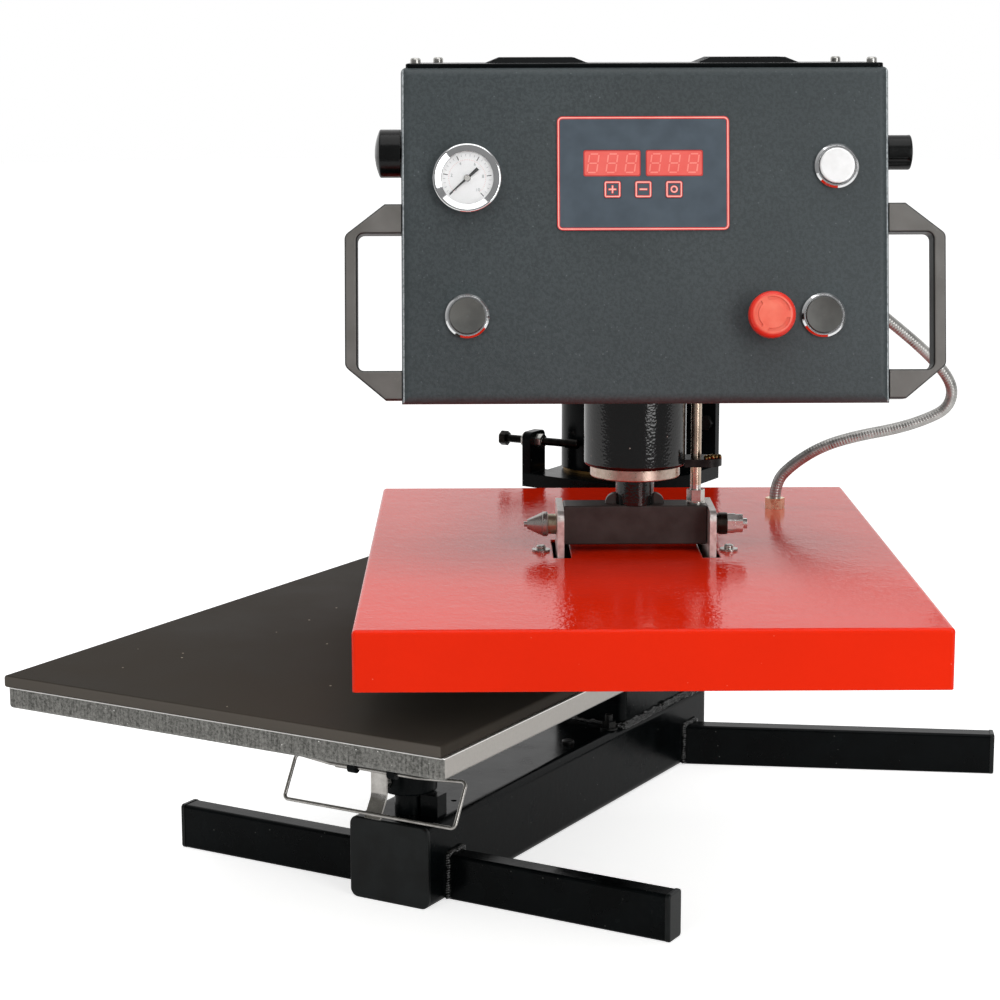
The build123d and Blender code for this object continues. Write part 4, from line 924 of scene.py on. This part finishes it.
class HEATPRESS_OT_buttons(bpy.types.Operator):
    """Dresses the push buttons and the emergency stop."""

    bl_idname = "heatpress.buttons"
    bl_label = "Push buttons"

    def execute(self, context):
        dressed(["button_bezels"], chrome_plate())
        cap = moulded_black("Button cap polycarbonate", "#4c4d4b", "#5b5c59", 0.36)
        dressed(["start_button_left", "start_button_right"], cap)
        dressed(["power_button"], pearl_chrome())
        dressed(["estop_button"], red_button_plastic())
        dressed(["estop_stem"], moulded_black("Stem polyamide", "#141515", "#202121", 0.4))
        return {"FINISHED"}


class HEATPRESS_OT_gauge(bpy.types.Operator):
    """The pressure gauge: bezel, printed dial, needle hub and glass."""

    bl_idname = "heatpress.gauge"
    bl_label = "Pressure gauge"

    # Sizes in millimetres and angles in degrees; a stroke has its outer radius, its length and its width
    centre_x = -126.25
    centre_s = 163.3
    dial_radius = 18.9
    dial_sides = 96
    dial_floor = 4.03
    card = 0.3
    scale_start = 223.8
    scale_sweep = 271.5
    majors = 5
    minors = 5
    major_value = 2
    minor_stroke = (17.4, 1.6, 0.25)
    major_stroke = (17.6, 3.4, 0.6)
    red_stroke = (13.6, 0.6, 0.22)
    stroke_depth = 0.05
    stroke_corner = 0.2
    number_radius = 11.4
    number_size = 3.2
    number_depth = 0.03
    number_rise = 0.04
    hub_top = 6.02
    hub_width = 4.2
    hub_corner = 2.05
    hub_depth = 0.35

    def execute(self, context):
        dressed(["gauge_case"], chrome_plate())
        dressed(["gauge_glass"], clear_glass())
        dressed(["gauge_needle"], printed("Needle black lacquer", "#0c0c0d", "#161617", 0.3))
        place = on_panel(self.centre_x, self.centre_s, self.dial_floor)
        ink = printed("Dial black ink", "#2e2f31", "#3c3d3f", 0.5)
        grey_ink = printed("Dial grey ink", "#8d9092", "#9a9da0", 0.5)
        red_ink = printed("Dial red ink", "#d9837c", "#e29a92", 0.5)
        self.face(place)
        steps = self.majors * self.minors
        for k in range(steps + 1):
            if k % self.minors:
                self.tick(place, k / steps, *self.minor_stroke, grey_ink, f"dial_tick_{k}")
            else:
                self.tick(place, k / steps, *self.major_stroke, ink, f"dial_tick_{k}")
                value = str(self.major_value * k // self.minors)
                self.number(place, k / steps, value, grey_ink, f"dial_number_{k}")
        for k in range(2 * steps + 1):
            self.tick(place, k / (2 * steps), *self.red_stroke, red_ink, f"dial_red_tick_{k}")
        hub = rounded_plate(self.hub_width, self.hub_width, self.hub_corner, self.hub_depth)
        smooth(hub)
        cap = on_panel(self.centre_x, self.centre_s, self.hub_top)
        finish_piece(hub, "needle_hub_cap", zinc_steel(), "needle", cap)
        return {"FINISHED"}

    def face(self, place):
        """The white card of the dial."""
        start_fresh()
        bpy.ops.mesh.primitive_circle_add(vertices=self.dial_sides, radius=self.dial_radius * MM, fill_type="NGON")
        card = bpy.context.object
        apply_modifier(card, "SOLIDIFY", thickness=self.card * MM, offset=1.0)
        finish_piece(card, "dial_card", printed("Dial white enamel", "#f2f2f2", "#fbfbfb", 0.35), "head", place)

    def turned(self, share):
        """The dial's direction at a share of its scale."""
        return radians(self.scale_start - share * self.scale_sweep)

    def tick(self, place, share, radius, length, width, material, name):
        """One printed stroke that points at the dial's centre."""
        mark = rounded_plate(length, width, width * self.stroke_corner, self.stroke_depth)
        turn = Matrix.Rotation(self.turned(share), 4, "Z")
        spot = place @ turn @ Matrix.Translation(((radius - length / 2) * MM, 0, self.card * MM))
        finish_piece(mark, name, material, "head", spot)

    def number(self, place, share, text, material, name):
        """One printed number, upright on the dial."""
        start_fresh()
        bpy.ops.object.text_add()
        label = bpy.context.object
        label.data.body = text
        label.data.size = self.number_size * MM
        label.data.align_x = "CENTER"
        label.data.align_y = "CENTER"
        label.data.extrude = self.number_depth * MM
        bpy.ops.object.convert(target="MESH")
        label = bpy.context.object
        angle = self.turned(share)
        spot = Vector((cos(angle), sin(angle), 0)) * self.number_radius * MM
        spot += Vector((0, 0, (self.card + self.number_rise) * MM))
        finish_piece(label, name, material, "head", place @ Matrix.Translation(spot))


class HEATPRESS_OT_keypad(bpy.types.Operator):
    """The keypad film with its border, display windows, digits and key signs."""

    bl_idname = "heatpress.keypad"
    bl_label = "Keypad"

    # Sizes in millimetres; a border, a window or a sign has its width, its height and its corner
    centre_x = 0.5
    centre_s = 167.0
    film_top = 1.2
    border = (124.0, 82.0, 3.9)
    border_rim = 0.55
    ink_rise = 0.05
    least_corner = 0.1
    window = (41.1, 18.8, 1.4)
    window_x = 22.45
    window_s = 174.3
    window_floor = 0.82
    window_edge = 1.6
    filter_depth = 0.15
    filter_rise = 0.1
    digit_rise = 0.24
    digit_pitch = 13.6
    digit_reach = 3.4
    digit_slant = 0.14
    segment = (5.4, 1.0, 0.35, 0.04)
    key_s = 155.4
    key_pitch = 22.2
    key_rise = 1.6
    key_square = (12.0, 12.0, 1.7)
    key_line = 1.7
    key_rim = 0.42
    ring = (5.6, 5.6, 2.7)
    ring_line = 1.5
    bar = (6.0, 1.6, 0.3)
    upright_bar = (1.6, 6.0, 0.3)
    sign_rim = 0.3

    def execute(self, context):
        film = printed("Polyester keypad film", "#434d56", "#4c5760", 0.24)
        dressed(["keypad_panel", "key_plus", "key_minus", "key_set"], film)
        self.pink = printed("Keypad pink ink", "#fba79c", "#feb8ae", 0.35)
        self.red = printed("Keypad red ink", "#d41512", "#de2a22", 0.35)
        line = context.scene.heatpress_sizes.frame_line / MM
        place = on_panel(self.centre_x, self.centre_s, self.film_top)
        self.inked("keypad_border", "head", place, *self.border, line, self.border_rim)
        self.windows(context.scene.heatpress_sizes.digit_height / MM)
        self.keys()
        return {"FINISHED"}

    def inked(self, name, body, place, width, height, corner, line, rim):
        """A printed stroke or border: a red rim with a pink core on it."""
        outer = rounded_plate(width, height, corner, self.ink_rise, line)
        finish_piece(outer, f"{name}_rim", self.red, body, place)
        corner = max(corner - rim, self.least_corner)
        core = rounded_plate(width - 2 * rim, height - 2 * rim, corner, self.ink_rise, max(line - 2 * rim, 0.0))
        finish_piece(core, f"{name}_core", self.pink, body, place @ Matrix.Translation((0, 0, self.ink_rise * MM)))

    def windows(self, height):
        """The two red display filters and their unlit digits."""
        edge = printed("Shaded filter edge", "#c23a37", "#ca4541", 0.25)
        tint = printed("Red display filter", "#e66058", "#ea6b62", 0.2)
        faint = printed("Unlit display segments", "#ee8378", "#f28e83", 0.3)
        wide, tall, corner = self.window
        for side, name in ((-1, "display_left"), (1, "display_right")):
            centre = self.centre_x + side * self.window_x
            pane = rounded_plate(wide, tall, corner, self.filter_depth)
            finish_piece(pane, f"{name}_edge", edge, "head", on_panel(centre, self.window_s, self.window_floor))
            pane = rounded_plate(wide - self.window_edge, tall - self.window_edge, corner, self.filter_depth)
            spot = on_panel(centre, self.window_s, self.window_floor + self.filter_rise)
            finish_piece(pane, name, tint, "head", spot)
            for k in (-1, 0, 1):
                spot = on_panel(centre + k * self.digit_pitch, self.window_s, self.window_floor + self.digit_rise)
                self.digit(spot, height, f"{name}_digit_{k + 1}", faint)

    def digit(self, spot, height, name, material):
        """Seven slanted strokes: three that lie and four that stand."""
        lower = height / 4
        wide = self.digit_reach
        slant = Matrix.Identity(4)
        slant[0][1] = self.digit_slant
        strokes = [(0, y, 0) for y in (2 * lower, 0, -2 * lower)]
        strokes += [(x, y, 90) for y in (lower, -lower) for x in (wide, -wide)]
        bars = []
        for x, y, turn in strokes:
            bar = rounded_plate(*self.segment)
            turned = Matrix.Rotation(radians(turn), 4, "Z")
            bar.data.transform(slant @ Matrix.Translation((x * MM, y * MM, 0)) @ turned)
            bars.append(bar)
        start_fresh()
        for bar in bars:
            bar.select_set(True)
        bpy.context.view_layer.objects.active = bars[0]
        bpy.ops.object.join()
        finish_piece(bars[0], name, material, "head", spot)

    def keys(self):
        """A square and its sign on each key: more, less and a ring."""
        signs = {"plus": -self.key_pitch, "minus": 0.0, "set": self.key_pitch}
        for body, x in signs.items():
            spot = on_panel(self.centre_x + x, self.key_s, self.key_rise)
            self.inked(f"key_{body}_square", body, spot, *self.key_square, self.key_line, self.key_rim)
            if body == "set":
                self.inked("key_set_sign", body, spot, *self.ring, self.ring_line, self.sign_rim)
                continue
            self.inked(f"key_{body}_bar", body, spot, *self.bar, 0.0, self.sign_rim)
            if body == "plus":
                raised = spot @ Matrix.Translation((0, 0, self.ink_rise / 2 * MM))
                self.inked("key_plus_stroke", body, raised, *self.upright_bar, 0.0, self.sign_rim)


class HEATPRESS_OT_heat_plate(bpy.types.Operator):
    """Dresses the heat plate."""

    bl_idname = "heatpress.heat_plate"
    bl_label = "Heat plate"

    def execute(self, context):
        dressed(["heat_cover"], red_powder_coat(context.scene.heatpress_colours.cover_red))
        dressed(["heating_platen"], milled_aluminium("Ground aluminium platen", "#8f8e8b", "#adaca9"))
        dressed(["insulation"], mineral_board())
        dressed(["cover_screws"], zinc_steel())
        dressed(["conduit_fitting"], turned_bronze("Machined brass", "#dcc09a", "#f2dcbe", 0.26))
        return {"FINISHED"}


class HEATPRESS_OT_conduit(bpy.types.Operator):
    """The spiral steel conduit."""

    bl_idname = "heatpress.conduit"
    bl_label = "Conduit"

    radius = 4.75
    groove = 0.07
    sides = 20
    rings_per_turn = 6
    points_per_span = 24
    route = [
        (146.0, -291.0, 505.0), (146.0, -264.0, 505.0), (161.0, -240.0, 496.5), (186.0, -228.0, 477.5),
        (215.0, -221.0, 454.5), (243.0, -215.5, 431.5), (263.0, -212.0, 411.0), (270.0, -210.5, 396.0),
        (266.0, -209.0, 381.5), (251.0, -208.0, 373.0), (226.0, -207.0, 364.5), (192.0, -205.0, 358.0),
        (164.0, -202.0, 349.0), (141.0, -198.0, 333.5), (127.0, -196.0, 318.0), (127.0, -196.0, 303.0),
    ]

    def execute(self, context):
        line = self.centre_line()
        pitch = context.scene.heatpress_sizes.conduit_pitch
        tube = self.tube(line, pitch)
        finish_piece(tube, "conduit_spiral", interlocked_conduit(), None)
        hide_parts("conduit")
        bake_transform(tube)
        return {"FINISHED"}

    def centre_line(self):
        """Evenly spaced points along a smooth curve through the route's runs."""
        curve = bpy.data.curves.new("conduit_route", "CURVE")
        curve.dimensions = "3D"
        curve.resolution_u = self.points_per_span
        spline = curve.splines.new("NURBS")
        spline.points.add(len(self.route) - 1)
        for point, place in zip(spline.points, self.route):
            point.co = (*[v * MM for v in place], 1.0)
        spline.order_u = 3
        spline.use_endpoint_u = True
        carrier = bpy.data.objects.new("conduit_route", curve)
        mesh = bpy.data.meshes.new_from_object(carrier)
        points = [v.co.copy() for v in mesh.vertices]
        bpy.data.objects.remove(carrier)
        bpy.data.meshes.remove(mesh)
        bpy.data.curves.remove(curve)
        return points

    def tube(self, line, pitch):
        """A tube whose wall winds in and out once a pitch, as interlocked strip does."""
        steps = self.stations(line, pitch / self.rings_per_turn)
        sides = self.sides
        vertices = []
        side = Vector((0, 0, 1))
        for place, ahead, travelled in steps:
            side = (side - ahead * side.dot(ahead)).normalized()
            up = ahead.cross(side)
            for j in range(sides):
                angle = 2 * pi * j / sides
                wind = cos(2 * pi * travelled / pitch - angle)
                reach = (self.radius - self.groove + self.groove * wind) * MM
                vertices.append(place + (side * cos(angle) + up * sin(angle)) * reach)
        faces = []
        for k in range(len(steps) - 1):
            for j in range(sides):
                a = k * sides + j
                b = k * sides + (j + 1) % sides
                faces.append((a, b, b + sides, a + sides))
        faces.append(tuple(reversed(range(sides))))
        faces.append(tuple(range((len(steps) - 1) * sides, len(steps) * sides)))
        mesh = bpy.data.meshes.new("conduit_spiral")
        mesh.from_pydata(vertices, [], faces)
        tube = bpy.data.objects.new("conduit_spiral", mesh)
        bpy.context.scene.collection.objects.link(tube)
        smooth(tube, 60.0)
        return tube

    def stations(self, line, step):
        """Places along the line at equal steps, with their direction and distance travelled."""
        lengths = [0.0]
        for a, b in zip(line, line[1:]):
            lengths.append(lengths[-1] + (b - a).length)
        count = round(lengths[-1] / step)
        found = []
        k = 0
        for n in range(count + 1):
            target = lengths[-1] * n / count
            while k < len(line) - 2 and lengths[k + 1] < target:
                k += 1
            ahead = (line[k + 1] - line[k]).normalized()
            found.append((line[k] + ahead * (target - lengths[k]), ahead, target))
        return found


class HEATPRESS_OT_stage(bpy.types.Operator):
    """Floor, soft light and the camera at the photograph's viewpoint."""

    bl_idname = "heatpress.stage"
    bl_label = "Stage"

    # Lengths in metres; a lamp has its place, its width and height, and whether gloss mirrors it
    floor_sides = 96
    floor_radius = 7.0
    floor_front = 1.3
    floor_lift = 0.68
    mirrored_lift = 0.3
    room_gloss = 0.3
    backdrop_start = -0.1
    backdrop_end = 0.5
    lamp_aim = (0.0, -0.3, 0.35)
    key_lamp = ((1.15, -2.2, 0.85), (0.8, 1.6), True)
    fill_lamp = ((-1.6, -2.2, 1.5), (1.8, 1.8), False)
    top_lamp = ((0.0, -0.9, 2.4), (2.0, 2.0), True)
    camera_place = (-0.1145, -2.2015, 0.677)
    camera_turn = -0.362
    camera_dip = 10.543
    camera_roll = -0.153
    lens = 88.3
    sensor = 36.0
    far_end = 100.0

    def execute(self, context):
        look = context.scene.heatpress_stage
        self.floor(look)
        self.world(context.scene, look)
        self.lamp("key_light", look.key_power, *self.key_lamp)
        self.lamp("fill_light", look.fill_power, *self.fill_lamp)
        self.lamp("top_light", look.top_power, *self.top_lamp)
        self.camera(context.scene)
        context.scene.view_settings.view_transform = "Standard"
        return {"FINISHED"}

    def seen_directly(self, tree):
        """A mask of what the camera sees by itself or through glass, and one of what gloss mirrors."""
        rays = add_node(tree, "ShaderNodeLightPath").outputs
        links = {0: rays["Is Camera Ray"], 1: rays["Is Transmission Ray"]}
        direct = add_node(tree, MATH, {"operation": "MAXIMUM"}, links).outputs[0]
        return direct, rays["Is Glossy Ray"]

    def floor(self, look):
        """A pale floor that fades into the white background and keeps the shadow."""
        start_fresh()
        middle = (0, self.floor_radius - self.floor_front, 0)
        bpy.ops.mesh.primitive_circle_add(
            vertices=self.floor_sides, radius=self.floor_radius, fill_type="NGON", location=middle)
        floor = bpy.context.object
        floor.name = "stage_floor"
        material, tree, surface = new_material("Pale floor", {"Base Color": look.floor_colour, "Roughness": 0.8})
        direct, mirrored = self.seen_directly(tree)
        seen = add_node(tree, MATH, {"operation": "MULTIPLY", 1: self.floor_lift}, {0: direct})
        gloss = add_node(tree, MATH, {"operation": "MULTIPLY", 1: self.mirrored_lift}, {0: mirrored})
        links = {0: seen.outputs[0], 1: gloss.outputs[0]}
        lift = add_node(tree, MATH, {"operation": "MAXIMUM"}, links).outputs[0]
        white = add_node(tree, "ShaderNodeEmission", {"Color": linear("#ffffff")}, {"Strength": lift})
        both = add_node(tree, "ShaderNodeAddShader", links={0: surface.outputs[0], 1: white.outputs[0]})
        output = [node for node in tree.nodes if node.bl_idname == "ShaderNodeOutputMaterial"][0]
        tree.links.new(both.outputs[0], output.inputs["Surface"])
        floor.data.materials.append(material)

    def world(self, scene, look):
        """A white backdrop behind the press, and soft grey light from the room in front of it."""
        world = bpy.data.worlds.new("Studio")
        world.use_nodes = True
        tree = world.node_tree
        tree.nodes.clear()
        way = add_node(tree, COORDINATES).outputs["Generated"]
        parts = add_node(tree, "ShaderNodeSeparateXYZ", links={"Vector": way})
        settings = span(self.backdrop_start, self.backdrop_end, self.room_gloss, 1.0)
        backdrop = add_node(tree, RANGE, settings, {"Value": parts.outputs["Y"]}).outputs["Result"]
        direct, mirrored = self.seen_directly(tree)
        plain = linear("#ffffff")
        soft = add_node(tree, "ShaderNodeBackground", {"Color": plain, "Strength": look.sky})
        behind = add_node(tree, "ShaderNodeBackground", {"Color": plain}, {"Strength": backdrop})
        white = add_node(tree, "ShaderNodeBackground", {"Color": plain, "Strength": 1.0})
        links = {0: mirrored, 1: soft.outputs[0], 2: behind.outputs[0]}
        room = add_node(tree, "ShaderNodeMixShader", links=links)
        mixed = add_node(tree, "ShaderNodeMixShader", links={0: direct, 1: room.outputs[0], 2: white.outputs[0]})
        add_node(tree, "ShaderNodeOutputWorld", links={"Surface": mixed.outputs[0]})
        scene.world = world

    def lamp(self, name, power, place, size, mirrored):
        """A soft light aimed at the press, seen in its gloss or not."""
        data = bpy.data.lights.new(name, "AREA")
        data.shape = "RECTANGLE"
        data.size, data.size_y = size
        data.energy = power
        lamp = bpy.data.objects.new(name, data)
        lamp.location = place
        lamp.rotation_euler = (Vector(self.lamp_aim) - Vector(place)).to_track_quat("-Z", "Y").to_euler()
        lamp.visible_glossy = mirrored
        bpy.context.scene.collection.objects.link(lamp)

    def camera(self, scene):
        """The photograph's viewpoint, found from the press's own straight edges."""
        data = bpy.data.cameras.new("photo_camera")
        data.lens = self.lens
        data.sensor_width = self.sensor
        data.clip_end = self.far_end
        camera = bpy.data.objects.new("photo_camera", data)
        turn = Matrix.Rotation(radians(self.camera_turn), 4, "Z")
        dip = Matrix.Rotation(radians(90 - self.camera_dip), 4, "X")
        roll = Matrix.Rotation(radians(self.camera_roll), 4, "Z")
        camera.matrix_world = Matrix.Translation(self.camera_place) @ turn @ dip @ roll
        scene.collection.objects.link(camera)
        scene.camera = camera


class HEATPRESS_PT_panel(bpy.types.Panel):
    """Lists the press's operators."""

    bl_idname = "HEATPRESS_PT_panel"
    bl_label = "Heat press"
    bl_space_type = "VIEW_3D"
    bl_region_type = "UI"
    bl_category = "Heat Press"

    def draw(self, context):
        for step in STEPS:
            self.layout.operator(step.bl_idname)
        for key in HEATPRESS_PG_sizes.__annotations__:
            self.layout.prop(context.scene.heatpress_sizes, key)
        for key in HEATPRESS_PG_colours.__annotations__:
            self.layout.prop(context.scene.heatpress_colours, key)
        for key in HEATPRESS_PG_stage.__annotations__:
            self.layout.prop(context.scene.heatpress_stage, key)


STEPS = [
    HEATPRESS_OT_stand, HEATPRESS_OT_platen, HEATPRESS_OT_head, HEATPRESS_OT_box, HEATPRESS_OT_buttons,
    HEATPRESS_OT_gauge, HEATPRESS_OT_keypad, HEATPRESS_OT_heat_plate, HEATPRESS_OT_conduit, HEATPRESS_OT_stage,
]
CLASSES = [HEATPRESS_PG_sizes, HEATPRESS_PG_colours, HEATPRESS_PG_stage, *STEPS, HEATPRESS_PT_panel]


def register():
    """Registers the classes and their settings."""
    for one in CLASSES:
        bpy.utils.register_class(one)
    bpy.types.Scene.heatpress_sizes = bpy.props.PointerProperty(type=HEATPRESS_PG_sizes)
    bpy.types.Scene.heatpress_colours = bpy.props.PointerProperty(type=HEATPRESS_PG_colours)
    bpy.types.Scene.heatpress_stage = bpy.props.PointerProperty(type=HEATPRESS_PG_stage)


def unregister():
    """Takes the settings and the classes out again."""
    del bpy.types.Scene.heatpress_stage
    del bpy.types.Scene.heatpress_colours
    del bpy.types.Scene.heatpress_sizes
    for one in reversed(CLASSES):
        bpy.utils.unregister_class(one)


def main():
    """Builds every piece."""
    register()
    for step in STEPS:
        group, action = step.bl_idname.split(".")
        getattr(getattr(bpy.ops, group), action)()


if __name__ == "__main__":
    main()
